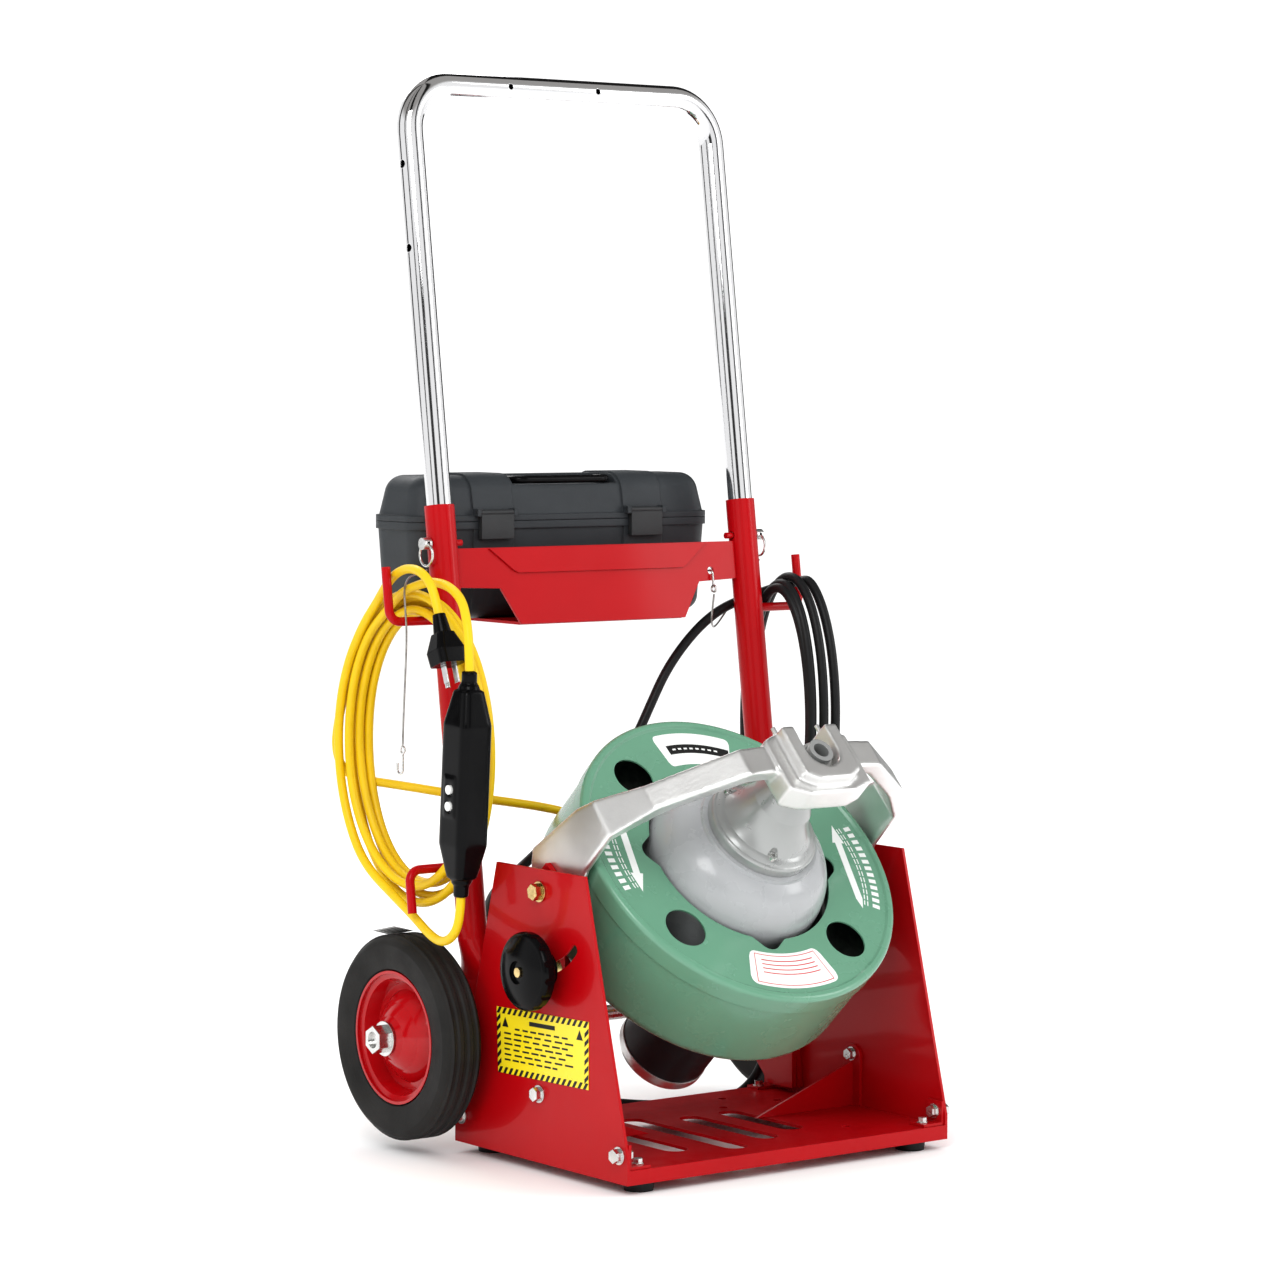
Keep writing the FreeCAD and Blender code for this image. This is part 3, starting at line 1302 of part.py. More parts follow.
def make_lanyards():
    """Coated wire lanyards of the ring pins: the left hangs, the right is hooked in the cross plate."""
    left = [
        (-211, 316, 573.5), (-225, 314, 570), (-240, 307, 567), (-250.5, 298, 557), (-254.5, 290, 539),
        (-254.5, 287, 514), (-254.5, 290, 468), (-254.5, 293, 430), (-254.5, 294, 404.4),
    ]
    right = [
        (211, 316, 573.5), (213, 329, 560), (210, 341, 545), (200, 347, 528), (184, 345, 511),
        (167, 336, 502), (151, 320, 507), (143, 309, 523), (142, 304.6, 539.6),
    ]
    wires = [tube_along("lanyard", route, 1) for route in (left, right)]
    feature("lanyards", Part.makeCompound(wires), UPRIGHT)
    x, height = LANYARD_HOLE
    hooked = bent_rod([(x, -6, height - 18), (x, -6, height), (x, 5, height), (x, 5, height - 9)], 3.6, 1.2)
    hooked = hooked.fuse(Part.makeTorus(3.4, 1.1, point(x, -6, height - 19.4), X_AXIS))
    hooked.Placement = UPRIGHT.inverse().multiply(LEANING)
    x, y = -254.5, 294
    hanging = bent_rod([(x, y, 397), (x, y, 376), (x, y + 9, 376), (x, y + 9, 386)], 4.2, 1.2)
    hanging = hanging.fuse(Part.makeTorus(3.4, 1.1, point(x, y, 399.6), X_AXIS))
    feature("snap_hooks", Part.makeCompound([hooked, hanging]), UPRIGHT)


def check_and_write():
    doc.recompute()
    problems = []
    for item in doc.Objects:
        if "Invalid" in item.State or "Error" in item.State:
            problems.append(f"{item.Name}: {item.State}")
    for item in parts:
        if item.Shape.isNull() or not item.Shape.isValid():
            problems.append(f"{item.Label}: shape not valid")
    if problems:
        raise RuntimeError("; ".join(problems))
    os.makedirs("parts", exist_ok=True)
    for item in parts:
        item.Shape.exportStep(f"parts/{item.Label}.step")
    print(f"{len(parts)} sub-parts written")


make_base_plate()
make_feet()
for side, side_name in SIDES:
    make_side_plate(side, side_name)
make_base_brackets()
make_frame_bolts()
make_hazard_label()
make_axle()
make_axle_brackets()
for side, side_name in SIDES:
    make_tube(side, side_name)
make_handle()
for side, side_name in SIDES:
    make_ring_pin(side, side_name)
make_cross_plate()
make_case_shelf()
make_hooks(-1, "cord_hooks")
make_hooks(1, "hose_hooks")
for side, side_name in SIDES:
    make_wheel(side, side_name)
make_drum_cover()
make_drum_body()
make_drum_pulley()
make_snake_cable()
make_hub_cone()
make_trumpet()
make_hub_screws()
make_yoke()
make_outlet_block()
make_rear_bracket()
make_cradle_bolts()
make_knob()
make_motor()
make_drive_belt()
make_switch_box()
make_case()
make_case_handle()
make_power_cord()
make_interrupter()
make_plug()
make_air_hose()
make_foot_pedal()
make_lanyards()
check_and_write()
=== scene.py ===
import json
import math

import bpy
from mathutils import Matrix, Vector


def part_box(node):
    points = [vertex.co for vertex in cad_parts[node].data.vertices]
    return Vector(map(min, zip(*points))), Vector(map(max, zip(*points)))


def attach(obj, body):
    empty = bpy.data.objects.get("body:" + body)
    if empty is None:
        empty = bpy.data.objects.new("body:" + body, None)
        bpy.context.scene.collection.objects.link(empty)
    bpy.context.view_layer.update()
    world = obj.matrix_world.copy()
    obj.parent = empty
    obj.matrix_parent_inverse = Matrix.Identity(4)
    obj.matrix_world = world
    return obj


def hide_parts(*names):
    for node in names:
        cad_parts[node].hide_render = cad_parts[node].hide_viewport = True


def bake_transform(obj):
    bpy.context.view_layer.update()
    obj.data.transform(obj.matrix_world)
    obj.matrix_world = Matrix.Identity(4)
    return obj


# Drum drain cleaning machine: looks, cords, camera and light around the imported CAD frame. Metres.

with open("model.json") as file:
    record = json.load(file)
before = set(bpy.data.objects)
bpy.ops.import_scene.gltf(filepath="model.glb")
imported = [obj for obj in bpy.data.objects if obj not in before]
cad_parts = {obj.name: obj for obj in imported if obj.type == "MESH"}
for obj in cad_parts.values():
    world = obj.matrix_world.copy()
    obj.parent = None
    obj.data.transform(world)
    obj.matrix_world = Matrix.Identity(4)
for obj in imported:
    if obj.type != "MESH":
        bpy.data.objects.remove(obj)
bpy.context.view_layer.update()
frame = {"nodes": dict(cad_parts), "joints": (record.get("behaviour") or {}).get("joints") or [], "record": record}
nodes = frame["nodes"]
joints = {joint["name"]: joint for joint in frame["joints"]}
collection = bpy.context.scene.collection

MM = 0.001
FRONT_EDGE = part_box("base_plate")[0].y


def upright(x, y, z):
    """A place in the stand's own millimetres: width, depth from the base's front edge, height."""
    return Vector((x * MM, y * MM + FRONT_EDGE, z * MM))


def route(*places):
    """Control points from places in the stand's millimetres."""
    return [upright(*place) for place in places]


def joint_frame(name):
    """Frame at a joint whose Z runs along its axis and whose X stays level."""
    along = Vector(joints[name]["axis"]).normalized()
    level = Vector((1, 0, 0))
    turned = Matrix((level, along.cross(level), along)).transposed().to_4x4()
    turned.translation = Vector(joints[name]["pos_m"])
    return turned


DRUM = joint_frame("drum_spin")


def in_drum(x, up, along):
    """A place in the drum's millimetres: right, up along its face, out along its axis."""
    return DRUM @ Vector((x * MM, up * MM, along * MM))


# ---------------------------------------------------------------- camera


def make_camera():
    """The viewpoint of the photograph: low, far back, from the machine's front left."""
    yaw, pitch, roll = 0.6555, -0.067, 0.0054
    forward = Vector((math.sin(yaw) * math.cos(pitch), math.cos(yaw) * math.cos(pitch), math.sin(pitch)))
    level = Vector((math.cos(yaw), -math.sin(yaw), 0))
    upward = level.cross(forward)
    right = level * math.cos(roll) + upward * math.sin(roll)
    top = upward * math.cos(roll) - level * math.sin(roll)
    data = bpy.data.cameras.new("camera")
    data.lens = 113.96
    data.sensor_width = 36
    data.clip_end = 100
    camera = bpy.data.objects.new("camera", data)
    camera.matrix_world = Matrix((right, top, -forward)).transposed().to_4x4()
    camera.location = (-2.47457, -3.17469, 0.77304)
    collection.objects.link(camera)
    bpy.context.scene.camera = camera


# ---------------------------------------------------------------- materials


def link(tree, source, output, target, socket):
    """Joins one node's output to another node's input."""
    tree.links.new(source.outputs[output], target.inputs[socket])


def noise(tree, scale, detail):
    """Noise over the piece's own coordinates."""
    place = tree.nodes.new("ShaderNodeTexCoord")
    texture = tree.nodes.new("ShaderNodeTexNoise")
    texture.inputs["Scale"].default_value = scale
    texture.inputs["Detail"].default_value = detail
    link(tree, place, "Object", texture, "Vector")
    return texture


def ranged(tree, source, output, low, high, start=0.3, end=0.7):
    """Spreads a texture's middle values between two numbers."""
    spread = tree.nodes.new("ShaderNodeMapRange")
    for socket, number in (("From Min", start), ("From Max", end), ("To Min", low), ("To Max", high)):
        spread.inputs[socket].default_value = number
    link(tree, source, output, spread, "Value")
    return spread


def mixed(tree, factor, output, first, second):
    """Mixes two colours, each a constant or another mix node, by a factor."""
    mix = tree.nodes.new("ShaderNodeMix")
    mix.data_type = "RGBA"
    link(tree, factor, output, mix, "Factor")
    for slot, colour in ((6, first), (7, second)):
        if isinstance(colour, tuple):
            mix.inputs[slot].default_value = (*colour, 1)
        else:
            tree.links.new(colour.outputs[2], mix.inputs[slot])
    return mix


def shade(colour, factor):
    """A lighter or darker colour, no brighter than white."""
    return tuple(min(1.0, channel * factor) for channel in colour)


def surface(name, colour, roughness, metallic=0.0, tone=0.12, tone_scale=9, spread=0.06,
            grain=0.06, grain_scale=420, edge=0.0008, edge_wear_and_highlight=0.0, **constants):
    """Finish with uneven colour and gloss, a fine grain, softened edges, and edges lightened partly as wear and
    partly as a painted highlight.
    """
    material = bpy.data.materials.new(name)
    material.use_nodes = True
    tree = material.node_tree
    shader = tree.nodes["Principled BSDF"]
    shader.inputs["Metallic"].default_value = metallic
    for socket, number in constants.items():
        shader.inputs[socket.replace("_", " ")].default_value = number
    patches = ranged(tree, noise(tree, tone_scale, 5), "Fac", 0, 1)
    base = mixed(tree, patches, "Result", shade(colour, 1 - tone), shade(colour, 1 + tone))
    round_edge = tree.nodes.new("ShaderNodeBevel")
    round_edge.samples = 4
    round_edge.inputs["Radius"].default_value = edge
    # Painted highlight and wear: edges are mixed towards a lighter copy of the colour, where the rounded normal
    # leaves the face's own.
    if edge_wear_and_highlight:
        geometry = tree.nodes.new("ShaderNodeNewGeometry")
        alike = tree.nodes.new("ShaderNodeVectorMath")
        alike.operation = "DOT_PRODUCT"
        link(tree, round_edge, "Normal", alike, 0)
        link(tree, geometry, "Normal", alike, 1)
        rubbed_and_highlit_edge = ranged(tree, alike, "Value", edge_wear_and_highlight, 0, 0.86, 0.995)
        base = mixed(tree, rubbed_and_highlit_edge, "Result", base, shade(colour, 2.2))
    tree.links.new(base.outputs[2], shader.inputs["Base Color"])
    gloss = ranged(tree, noise(tree, 34, 4), "Fac", roughness - spread, roughness + spread)
    link(tree, gloss, "Result", shader, "Roughness")
    bump = tree.nodes.new("ShaderNodeBump")
    bump.inputs["Strength"].default_value = grain
    bump.inputs["Distance"].default_value = 0.001
    link(tree, noise(tree, grain_scale, 2), "Fac", bump, "Height")
    link(tree, round_edge, "Normal", bump, "Normal")
    link(tree, bump, "Normal", shader, "Normal")
    return material


RED = (0.43, 0.002, 0.006)
STEEL = (0.62, 0.62, 0.63)

finishes = {
    "red_paint": surface("red_enamel", RED, 0.34, tone=0.05, grain=0.02, grain_scale=190, edge_wear_and_highlight=0.16,
                         Coat_Weight=0.25, Coat_Roughness=0.06, Specular_IOR_Level=0.14),
    "rim_red": surface("red_rim_enamel", (0.42, 0.002, 0.006), 0.2, tone=0.03, grain=0.012,
                       grain_scale=160, edge_wear_and_highlight=0.15, Coat_Weight=0.6, Coat_Roughness=0.05,
                       Specular_IOR_Level=0.2),
    "drum_green": surface("green_enamel", (0.14, 0.32, 0.215), 0.26, tone=0.018, tone_scale=14, spread=0.03,
                          grain=0.02, grain_scale=330, edge_wear_and_highlight=0.25, Coat_Weight=0.5, Coat_Roughness=0.12),
    "hub_grey": surface("grey_moulded_hub", (0.4, 0.41, 0.42), 0.28, tone=0.03, grain=0.02,
                        Coat_Weight=0.5, Coat_Roughness=0.1),
    "cast_alloy": surface("cast_aluminium", (0.84, 0.84, 0.83), 0.36, 0.95, tone=0.05, tone_scale=26,
                          spread=0.03, grain=0.12, grain_scale=260, edge=0.0015),
    "chrome_tube": surface("polished_chrome", (0.86, 0.86, 0.87), 0.06, 1.0, tone=0.03, spread=0.02,
                           grain=0.004, grain_scale=60),
    "zinc": surface("bright_zinc", (0.72, 0.72, 0.71), 0.26, 1.0, tone=0.14, tone_scale=90, grain=0.1),
    "yellow_zinc": surface("yellow_zinc", (0.74, 0.56, 0.27), 0.28, 1.0, tone=0.22, tone_scale=160,
                           grain=0.1),
    "cable_steel": surface("wound_steel", (0.4, 0.39, 0.38), 0.38, 1.0, tone=0.25, tone_scale=120,
                           grain=0.2),
    "motor_grey": surface("motor_enamel", (0.03, 0.032, 0.034), 0.42, grain=0.14, grain_scale=520, edge_wear_and_highlight=0.15,
                          Specular_IOR_Level=0.3),
    "black_plastic": surface("black_moulding", (0.004, 0.004, 0.0045), 0.2, tone=0.2, grain=0.02, edge=0.0012,
                             Specular_IOR_Level=0.16),
    "case_grey": surface("textured_case_plastic", (0.038, 0.043, 0.048), 0.46, tone=0.05, tone_scale=30,
                         grain=0.25, grain_scale=1500, edge=0.002, edge_wear_and_highlight=0.1, Specular_IOR_Level=0.35),
    "latch_plastic": surface("latch_plastic", (0.03, 0.032, 0.034), 0.42, grain=0.2, grain_scale=1200,
                             edge=0.0012),
    "white_plastic": surface("white_plastic", (0.86, 0.86, 0.84), 0.3, tone=0.03, grain=0.02),
    "tyre_black": surface("tyre_rubber", (0.022, 0.021, 0.02), 0.62, tone=0.3, tone_scale=16, spread=0.08,
                          grain=0.2, grain_scale=700, edge=0.001, edge_wear_and_highlight=0.06, Specular_IOR_Level=0.25),
    "black_rubber": surface("black_rubber", (0.011, 0.011, 0.012), 0.42, tone=0.25, grain=0.1,
                            grain_scale=900, Specular_IOR_Level=0.35),
    "yellow_cord": surface("yellow_cord_jacket", (0.78, 0.53, 0.006), 0.4, tone=0.05, tone_scale=22,
                           grain=0.1, grain_scale=600, Specular_IOR_Level=0.4),
    "label": surface("yellow_label_film", (0.9, 0.72, 0.02), 0.3, tone=0.03, grain=0.02,
                     Coat_Weight=0.3, Coat_Roughness=0.15),
}
silver_enamel = surface("silver_enamel", (0.4, 0.41, 0.405), 0.3, 0.5, tone=0.03, grain=0.02,
                        Coat_Weight=0.4, Coat_Roughness=0.08)
black_print = surface("black_print", (0.012, 0.012, 0.012), 0.45, tone=0.1, grain=0.02)
white_print = surface("white_print", (0.82, 0.84, 0.82), 0.4, tone=0.04, grain=0.02)
red_print = surface("red_print", (0.6, 0.03, 0.04), 0.4, tone=0.05, grain=0.02)
paper = surface("paper", (0.86, 0.86, 0.84), 0.75, tone=0.04, grain=0.1, grain_scale=500)
bare_steel = surface("bright_steel", STEEL, 0.2, 1.0, tone=0.06, grain=0.05)

slots = {part["node"]: part["material_slot"] for part in frame["record"]["subparts"]}


def paint(item, material):
    """Gives a piece one material."""
    item.data.materials.clear()
    item.data.materials.append(material)


for node_name, node in nodes.items():
    paint(node, finishes[slots[node_name]])
paint(nodes["trumpet"], silver_enamel)


# ---------------------------------------------------------------- building pieces


def add_mesh(name, places, faces, body, material):
    """A flat-shaded mesh piece; it rides on a body unless that is None."""
    data = bpy.data.meshes.new(name)
    data.from_pydata([tuple(place) for place in places], [], faces)
    data.update()
    for polygon in data.polygons:
        polygon.use_smooth = False
    item = bpy.data.objects.new(name, data)
    collection.objects.link(item)
    item.data.materials.append(material)
    if body:
        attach(item, body)
    return item


def nurbs_line(name, places, diameter=0.0):
    """A curve of one open NURBS spline through its control points."""
    data = bpy.data.curves.new(name, "CURVE")
    data.dimensions = "3D"
    data.resolution_u = 8
    spline = data.splines.new("NURBS")
    spline.points.add(len(places) - 1)
    for control, place in zip(spline.points, places):
        control.co = (*place, 1)
    spline.order_u = 3
    spline.use_endpoint_u = True
    data.bevel_depth = diameter / 2
    data.bevel_resolution = 5
    data.use_fill_caps = diameter > 0
    item = bpy.data.objects.new(name, data)
    collection.objects.link(item)
    return item


def line_places(name, places):
    """Points along the NURBS spline of a route."""
    line = nurbs_line(name, places)
    bpy.context.view_layer.update()
    mesh = bpy.data.meshes.new_from_object(line)
    followed = [vertex.co.copy() for vertex in mesh.vertices]
    bpy.data.objects.remove(line)
    bpy.data.meshes.remove(mesh)
    return followed


def tube_mesh(name, places, diameter, material):
    """A round mesh tube along a route's NURBS spline."""
    line = nurbs_line(name + "_line", places, diameter)
    bpy.context.view_layer.update()
    mesh = bpy.data.meshes.new_from_object(line)
    bpy.data.objects.remove(line)
    mesh.name = name
    for polygon in mesh.polygons:
        polygon.use_smooth = True
    mesh.materials.clear()
    mesh.materials.append(material)
    item = bpy.data.objects.new(name, mesh)
    collection.objects.link(item)
    return item


# ---------------------------------------------------------------- cords

CORD = 9 * MM
HOSE = 10 * MM
WIRE = 2 * MM


def loop_behind_motor(side):
    """Control points of a cord that leaves the switch box sideways and turns back behind the drum."""
    turns = (
        (54, 226.7, 169.4), (68, 226.7, 169.4), (104, 226.7, 169.4), (135, 240.7, 180.5),
        (152, 264.9, 199.8), (152, 293, 222.1), (134, 317.2, 241.3),
    )
    return [upright(side * x, y, z) for x, y, z in turns]


def run_to_coil(name, places, diameter, finish, old_nodes):
    """The stretch from the tilting cradle to a coil on the stand, as one mesh tube that stands for old CAD nodes.
    """
    tube = tube_mesh(name, places, diameter, finishes[finish])
    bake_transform(tube)
    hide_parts(*old_nodes)
    line_places(name + "_path", places)
    return tube


def oval_turns(centre, half, seats, start, end):
    """Control points of loose oval turns: seats hold each turn's place across and its extra size."""
    per_turn = 16
    sag, wave = 0.12, 1.3
    centre_y, centre_z = centre
    half_y, half_z = half
    count = round((end - start) / 360 * per_turn)
    places = []
    for i in range(count + 1):
        angle = start + (end - start) * i / count
        turn = math.floor(angle / 360)
        share = angle / 360 - turn
        here, after = seats[turn], seats[turn + 1]
        across = here[0] + (after[0] - here[0]) * share
        grown = here[1] + (after[1] - here[1]) * share
        lean = math.radians(angle)
        slack = 1 + sag * (1 - math.sin(lean))
        wander = wave * math.sin(3 * lean + 2.1 * turn)
        grown = grown * slack + wander * (1 - math.sin(lean)) / 2
        y = centre_y + (half_y + grown) * math.cos(lean)
        z = centre_z + (half_z + grown) * math.sin(lean)
        places.append(upright(across, y, z))
    return places


def hang_cord(name, places, diameter, finish, old_nodes):
    """A cord that stays on the stand and stands for old CAD nodes."""
    line = nurbs_line(name, places, diameter)
    paint(line, finishes[finish])
    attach(line, "stand")
    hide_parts(*old_nodes)
    return line


def make_power_cord():
    """Yellow mains lead: from the motor to the coil, the coil up to the protector, and the plug's tail."""
    coil_centre, coil_half = (310, 399), (112, 145)
    run = loop_behind_motor(1) + route(
        (104, 328, 254), (72, 333, 270), (42, 334, 287), (12, 333, 305), (-24, 331, 320), (-62, 330, 329),
        (-102, 330.5, 336), (-138, 335, 342), (-168, 352, 348), (-192, 377, 353), (-214, 411, 357),
    )
    run_to_coil("power_run", run, CORD, "yellow_cord", ("power_cord_run",))
    seats = ((-234, 11), (-224, 7), (-214.5, 3), (-216.5, -9), (-226.5, -7), (-237, -4), (-243, 4))
    joining = route(
        (-214, 411, 357), (-220, 421, 358.5), (-230, 436, 366), (-236, 441, 386), (-236, 439, 410),
    )
    turns = oval_turns(coil_centre, coil_half, seats, 22, 5 * 360 + 72)
    leaving = route(
        (-241.5, 318, 551), (-243, 290, 560), (-245, 258, 566), (-247, 226, 563), (-252, 197, 551),
        (-259, 179, 531), (-262, 171, 508), (-262, 170.2, 484.8),
    )
    hang_cord("power_coil", joining + turns + leaving, CORD, "yellow_cord",
              ("power_cord_coil",))
    tail = route(
        (-262, 183.8, 267.2), (-262, 185.3, 243.2), (-262, 198.5, 225.5), (-258, 223, 218.5),
        (-252, 252, 223), (-247, 283, 235), (-243.5, 315, 247),
    )
    tail += oval_turns(coil_centre, coil_half, ((-243.5, 4),) * 3, 305, 360 + 52)
    tail += route(
        (-243, 356, 541), (-247, 332, 561), (-252, 307, 573), (-257.5, 278.3, 578.5),
        (-261, 250.8, 575.5), (-262, 230.2, 560.2), (-262, 221.7, 536.1),
    )
    hang_cord("plug_tail", tail, CORD, "yellow_cord", ("power_cord_leads",))


def make_air_hose():
    """Black air hose: from the motor to the coil, and the coil down to the foot pedal."""
    run = loop_behind_motor(-1) + route(
        (-104, 333, 254), (-72, 343, 269), (-40, 347, 289), (-10, 348, 312), (20, 347, 336),
        (48, 345, 362), (71, 344, 391), (88, 342, 424), (106, 341, 457), (130, 340, 486),
        (158, 338, 511), (187, 333, 528), (214, 323, 537),
    )
    run_to_coil("hose_run", run, HOSE, "black_rubber", ("cradle_leads", "air_hose_runs"))
    seats = ((251, 5), (236, 7), (225, 0), (214, -6), (226, -6))
    joining = route((214, 323, 537), (229.2, 317.4, 542.1), (240.8, 306.3, 547.2), (247, 291, 551.5))
    turns = oval_turns((292, 403.5), (58, 150), seats, 106, 3 * 360 + 246)
    leaving = route(
        (219, 277, 245), (212, 284, 208), (206, 287, 166), (203, 285.5, 122), (203.5, 286, 84),
        (203, 289, 51.6), (187.5, 295, 22.2), (160.8, 306, 5.2), (128, 317, 5.3), (98, 333, 5.2),
        (68, 353, 6.5), (34, 365, 12),
    )
    hang_cord("hose_coil", joining + turns + leaving, HOSE, "black_rubber",
              ("air_hose_coil",))


def make_lanyards():
    """Coated wires of the ring pins; both end in snap hooks, and the second stands for no CAD node."""
    left = route(
        (-211, 316, 573.5), (-225, 314, 570), (-240, 307, 567), (-250.5, 298, 557), (-254.5, 290, 539),
        (-254.5, 287, 514), (-254.5, 290, 468), (-254.5, 293, 430), (-254.5, 294, 404.4),
    )
    right = route(
        (211, 316, 573.5), (213, 329, 560), (210, 341, 545), (200, 347, 528), (184, 345, 511),
        (167, 336, 502), (151, 320, 507), (143, 309, 523), (142, 304.6, 539.6),
    )
    wires = (("lanyard_left", left, 0.2, ("lanyards",)), ("lanyard_right", right, 0.16, ()))
    for name, places, length, old_nodes in wires:
        line = nurbs_line(name, places, WIRE)
        paint(line, finishes["cable_steel"])
        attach(line, "stand")
        if old_nodes:
            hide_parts(*old_nodes)


# ---------------------------------------------------------------- castings


def soften_casting(node, voxel, rounds):
    """Rounds a casting's edges and hollows, as a sand mould leaves them."""
    remesh = node.modifiers.new("mould", "REMESH")
    remesh.mode = "VOXEL"
    remesh.voxel_size = voxel
    remesh.use_smooth_shade = True
    smooth = node.modifiers.new("round", "SMOOTH")
    smooth.factor = 0.5
    smooth.iterations = rounds


# ---------------------------------------------------------------- small details


PLUG_PLACE = upright(-262, 210.4, 504)
PLUG_LEAN = math.radians(19.4)
BLADE_ROOT = -16.3 * MM


def make_plug_blades():
    """Bright metal on the plug's blades, below the moulded body."""
    plug = nodes["plug"]
    plug.data.materials.append(bare_steel)
    up = Vector((0, math.sin(PLUG_LEAN), math.cos(PLUG_LEAN)))
    for polygon in plug.data.polygons:
        place = plug.matrix_world @ polygon.center
        if (place - PLUG_PLACE).dot(up) < BLADE_ROOT:
            polygon.material_index = 1


def make_cord_tag():
    """Folded paper tag at the foot of the power cord's coil, with plain lines on its underside."""
    corners = [Vector(corner) for corner in (
        (-252, 312, 224), (-252, 352, 215), (-226, 356, 208), (-226, 316, 217),
    )]
    tag = add_mesh("cord_tag", [upright(*corner) for corner in corners], [(0, 1, 2, 3)], "stand", paper)
    along = corners[1] - corners[0]
    across = corners[3] - corners[0]
    below = Vector((0, 0, -0.15))
    line_width = across * 0.05
    rows = []
    for k in range(4):
        edge = corners[0] + across * (0.2 + 0.18 * k) + below
        start = edge + along * 0.12
        end = edge + along * 0.8
        rows.append([upright(*place) for place in (start, end, end + line_width, start + line_width)])
    print_shapes("cord_tag_lines", rows, "stand", black_print)


# ---------------------------------------------------------------- printed labels

PRINT_LIFT = 0.12
DRUM_FACE = -2.0


def print_shapes(name, shapes, body, material):
    """Flat printed shapes, each a list of corners in the machine's frame."""
    places = []
    faces = []
    for corners in shapes:
        faces.append(tuple(range(len(places), len(places) + len(corners))))
        places += corners
    add_mesh(name, places, faces, body, material)


def arc_shape(inner, outer, start, end, lift=1, steps=14, corner=0):
    """A band of the drum's face between two radii and two bearings, its corners rounded."""
    along = DRUM_FACE + lift * PRINT_LIFT
    sides = ([], [])
    for i in range(steps + 1):
        turn = math.radians(start + (end - start) * i / steps)
        to_end = outer * math.radians(end - start) * min(i, steps - i) / steps
        cut = 0
        if to_end < corner:
            cut = corner - math.sqrt(corner ** 2 - (corner - to_end) ** 2)
        for side, radius in zip(sides, (outer - cut, inner + cut)):
            side.append(in_drum(radius * math.cos(turn), radius * math.sin(turn), along))
    return sides[0] + sides[1][::-1]


def arrow_shape(bearing, radius, half_length, half_width):
    """A long arrow laid along the drum's rim, its head at the far end."""
    along = DRUM_FACE + PRINT_LIFT
    turn = math.radians(bearing)
    outward = Vector((math.cos(turn), math.sin(turn)))
    forward = Vector((-math.sin(turn), math.cos(turn)))
    head = half_length - 3.2 * half_width
    tail = 12 - half_length
    shaft = 0.55 * half_width
    profile = (
        (-half_length, 0), (tail, -shaft), (head, -shaft), (head, -half_width),
        (half_length, 0), (head, half_width), (head, shaft), (tail, shaft),
    )
    corners = []
    for ahead, aside in profile:
        place = outward * (radius + aside) + forward * ahead
        corners.append(in_drum(place.x, place.y, along))
    return corners


def make_drum_print():
    """Blank plates, arrows and dashes where the drum carries its printing; no lettering."""
    top_plate = arc_shape(117, 156, 66, 101, 1, 70, 6)
    foot_plate = arc_shape(116, 157, 246, 286, 1, 80, 9)
    print_shapes("drum_plates", [top_plate, foot_plate], "drum", white_print)
    print_shapes("drum_band", [arc_shape(131, 142, 66.6, 97, 2)], "drum", black_print)
    dashes = [arc_shape(135.5, 137.5, start, start + 1.7, 3, 2) for start in range(72, 95, 3)]
    arrows = []
    words = []
    for middle in (170, 350):
        arrows.append(arrow_shape(middle, 127, 52, 7))
        for k in range(-6, 7):
            turn = middle + 3.1 * k
            words.append(arc_shape(148, 156, turn - 0.9, turn + 0.9, 1, 2))
            for radius in (138.5, 142):
                words.append(arc_shape(radius, radius + 1.2, turn - 1.2, turn + 1.2, 1, 2))
    print_shapes("drum_arrows", dashes + arrows + words, "drum", white_print)
    start, end = 249, 283
    border = [
        arc_shape(119, 119.8, start, end, 2), arc_shape(153.2, 154, start, end, 2),
        arc_shape(119, 154, start - 0.3, start, 2, 1), arc_shape(119, 154, end, end + 0.3, 2, 1),
    ]
    border += [arc_shape(radius, radius + 1.1, 252, 280, 2) for radius in (125, 130, 135, 140)]
    print_shapes("drum_border", border, "drum", red_print)


LABEL_CORNERS = ((210.5, 153), (61, 157), (61, 92), (207.5, 89))
LABEL_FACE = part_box("hazard_label")[0].x


def on_label(across, down):
    """A place on the side plate's label, as shares of its width from the back and its height from the top."""
    top = Vector(LABEL_CORNERS[0]).lerp(Vector(LABEL_CORNERS[1]), across)
    foot = Vector(LABEL_CORNERS[3]).lerp(Vector(LABEL_CORNERS[2]), across)
    place = top.lerp(foot, down)
    outside = LABEL_FACE - PRINT_LIFT * MM
    return Vector((outside, *upright(0, place.x, place.y).yz))


def label_box(left, top, right, foot):
    """Four corners of an upright rectangle on the label."""
    return [on_label(left, top), on_label(right, top), on_label(right, foot), on_label(left, foot)]


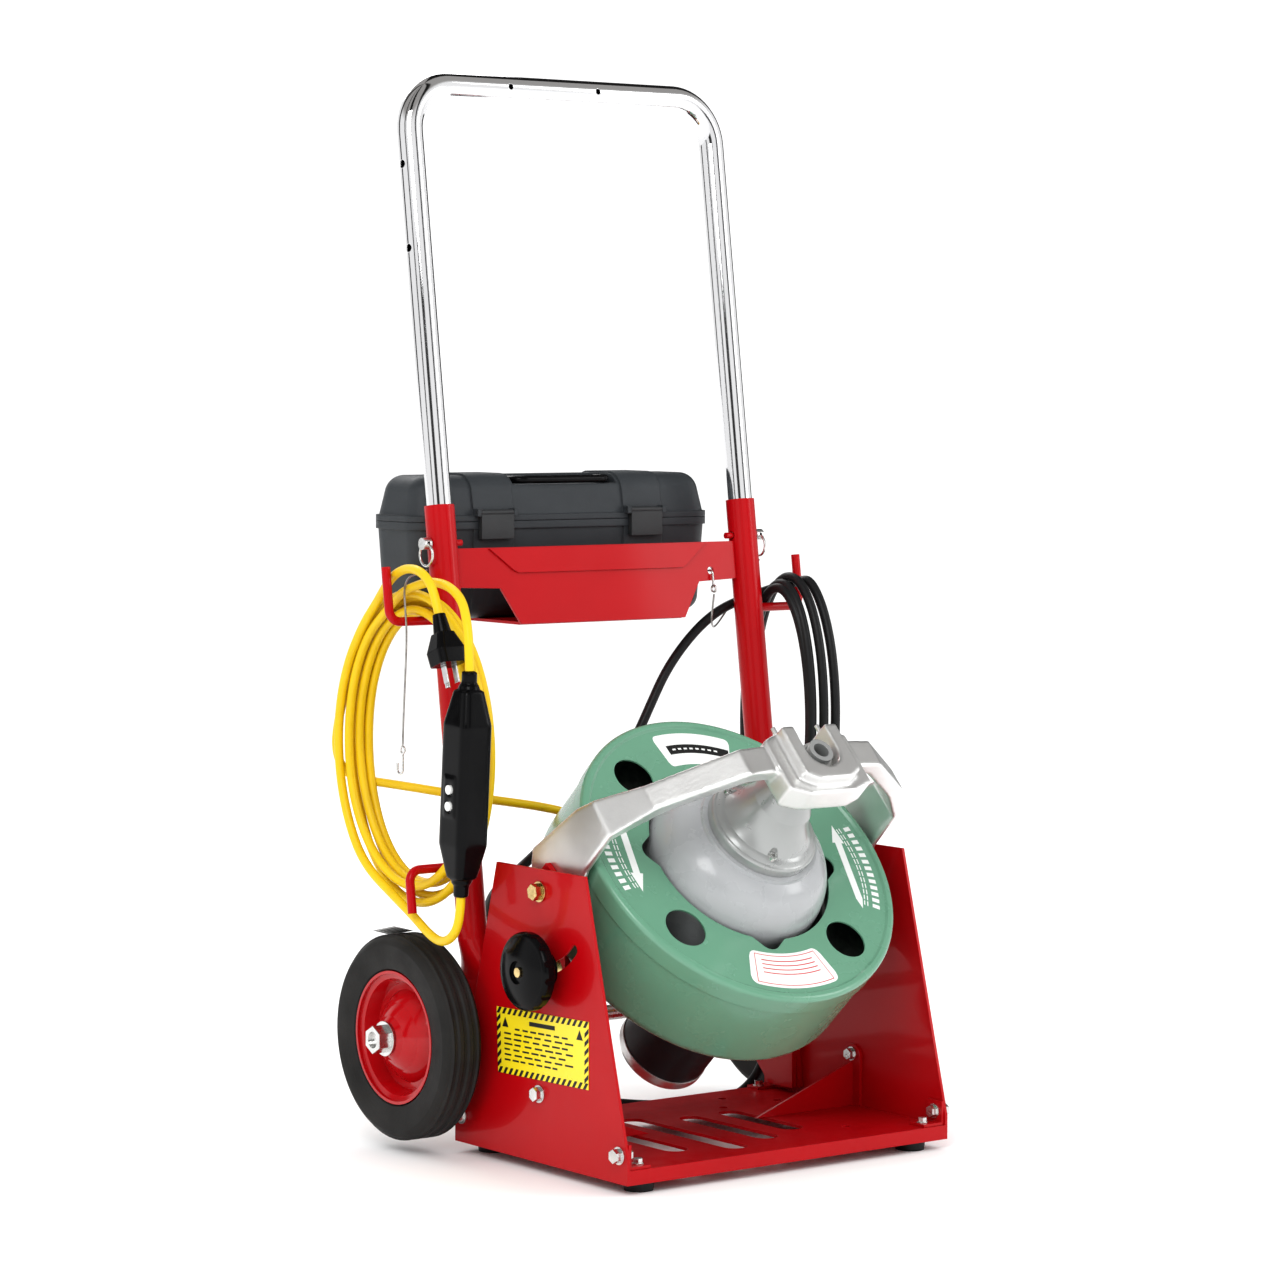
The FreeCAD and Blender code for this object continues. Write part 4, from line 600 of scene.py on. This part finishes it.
def make_label_print():
    """Striped border, plain bars for its lines and two warning triangles; no lettering."""
    stripes, side_stripes = 17, 6
    border_x, border_y = 0.042, 0.095
    slant, stripe_width = 0.03, 0.029
    shapes = []
    for k in range(stripes):
        start = k / stripes
        for top, foot in ((0, border_y), (1 - border_y, 1)):
            shapes.append([
                on_label(min(1, start + slant), top), on_label(min(1, start + slant + stripe_width), top),
                on_label(min(1, start + stripe_width), foot), on_label(start, foot),
            ])
    for k in range(side_stripes):
        start = border_y + (1 - 2 * border_y) * k / side_stripes
        for left in (0, 1 - border_x):
            shapes.append([
                on_label(left, start + 0.08), on_label(left + border_x, start),
                on_label(left + border_x, start + 0.07), on_label(left, start + 0.15),
            ])
    shapes.append(label_box(0.36, 0.15, 0.64, 0.215))
    rows = ((0.2, 0.8), (0.08, 0.86), (0.08, 0.82), (0.08, 0.87), (0.08, 0.78), (0.08, 0.86), (0.08, 0.7))
    words = 7
    for row, (left, right) in enumerate(rows):
        top = 0.29 + 0.08 * row
        span = (right - left) / words
        for k in range(words):
            start = left + k * span
            end = start + span * (0.62 + 0.06 * ((k + row) % 4))
            shapes.append(label_box(start, top, end, top + 0.028))
    for middle in (0.095, 0.905):
        tip, foot_right, foot_left = (middle, 0.14), (middle + 0.035, 0.29), (middle - 0.035, 0.29)
        shapes.append([on_label(*corner) for corner in (tip, foot_right, foot_left)])
    print_shapes("label_print", shapes, "stand", black_print)


# ---------------------------------------------------------------- light and floor


def add_light(name, place, target, size, power):
    """A white soft box that faces its target."""
    data = bpy.data.lights.new(name, "AREA")
    data.shape = "RECTANGLE"
    data.size, data.size_y = size
    data.energy = power
    light = bpy.data.objects.new(name, data)
    light.location = place
    light.rotation_mode = "QUATERNION"
    light.rotation_quaternion = (Vector(target) - Vector(place)).to_track_quat("-Z", "Y")
    collection.objects.link(light)


def make_world():
    """White surroundings; mirrors see a room with a grey ceiling and dark gaps in its white walls."""
    world = bpy.data.worlds.new("studio")
    bpy.context.scene.world = world
    world.use_nodes = True
    tree = world.node_tree
    plain = tree.nodes["Background"]
    plain.inputs["Color"].default_value = (1, 1, 1, 1)
    plain.inputs["Strength"].default_value = 1.0
    place = tree.nodes.new("ShaderNodeTexCoord")
    split = tree.nodes.new("ShaderNodeSeparateXYZ")
    link(tree, place, "Generated", split, "Vector")
    ceiling = tree.nodes.new("ShaderNodeValToRGB")
    ceiling.color_ramp.elements[0].position = 0.4
    ceiling.color_ramp.elements[0].color = (1, 1, 1, 1)
    ceiling.color_ramp.elements[1].position = 0.62
    ceiling.color_ramp.elements[1].color = (0.4, 0.39, 0.38, 1)
    link(tree, split, "Z", ceiling, "Fac")
    bearing = tree.nodes.new("ShaderNodeTexGradient")
    bearing.gradient_type = "RADIAL"
    link(tree, place, "Generated", bearing, "Vector")
    walls = tree.nodes.new("ShaderNodeValToRGB")
    ramp = walls.color_ramp
    ramp.elements[0].color = (1, 1, 1, 1)
    ramp.elements[1].color = (1, 1, 1, 1)
    for middle, half in ((0.02, 0.008), (0.14, 0.028), (0.3, 0.012), (0.6, 0.07), (0.84, 0.02)):
        for offset, level in ((-half - 0.01, 1), (-half, 0.05), (half, 0.05), (half + 0.01, 1)):
            stop = ramp.elements.new(middle + offset)
            stop.color = (level, level, level, 1)
    link(tree, bearing, "Fac", walls, "Fac")
    room = tree.nodes.new("ShaderNodeMix")
    room.data_type = "RGBA"
    room.blend_type = "MULTIPLY"
    room.inputs[0].default_value = 1
    link(tree, ceiling, "Color", room, 6)
    link(tree, walls, "Color", room, 7)
    seen = tree.nodes.new("ShaderNodeBackground")
    tree.links.new(room.outputs[2], seen.inputs["Color"])
    seen.inputs["Strength"].default_value = 0.8
    path = tree.nodes.new("ShaderNodeLightPath")
    either = tree.nodes.new("ShaderNodeMixShader")
    link(tree, path, "Is Glossy Ray", either, 0)
    link(tree, plain, "Background", either, 1)
    link(tree, seen, "Background", either, 2)
    link(tree, either, "Shader", tree.nodes["World Output"], "Surface")


def make_studio():
    """White room, three soft boxes and a pale floor."""
    make_world()
    add_light("key", (-2.4, -2.2, 2.6), (0, 0, 0.45), (1.6, 1.8), 38)
    add_light("fill", (2.6, -2.4, 1.8), (0, 0, 0.4), (1.0, 2.0), 16)
    add_light("back", (0.8, 2.8, 2.8), (0, 0, 0.5), (2.4, 1.2), 26)
    reach = 30
    corners = [(-reach, -reach, 0), (reach, -reach, 0), (reach, reach, 0), (-reach, reach, 0)]
    floor_finish = surface("pale_floor", (0.95, 0.95, 0.95), 0.9, tone=0.004, tone_scale=2, grain=0.01,
                           Specular_IOR_Level=0.0)
    floor = add_mesh("floor", corners, [(0, 1, 2, 3)], None, floor_finish)
    bpy.context.scene.view_settings.view_transform = "Standard"
    bpy.context.scene.view_settings.look = "Medium High Contrast"


make_camera()
make_power_cord()
make_air_hose()
make_lanyards()
soften_casting(nodes["yoke"], 1.5 * MM, 12)
soften_casting(nodes["interrupter"], 1.2 * MM, 14)
make_plug_blades()
make_cord_tag()
make_drum_print()
make_label_print()
make_studio()
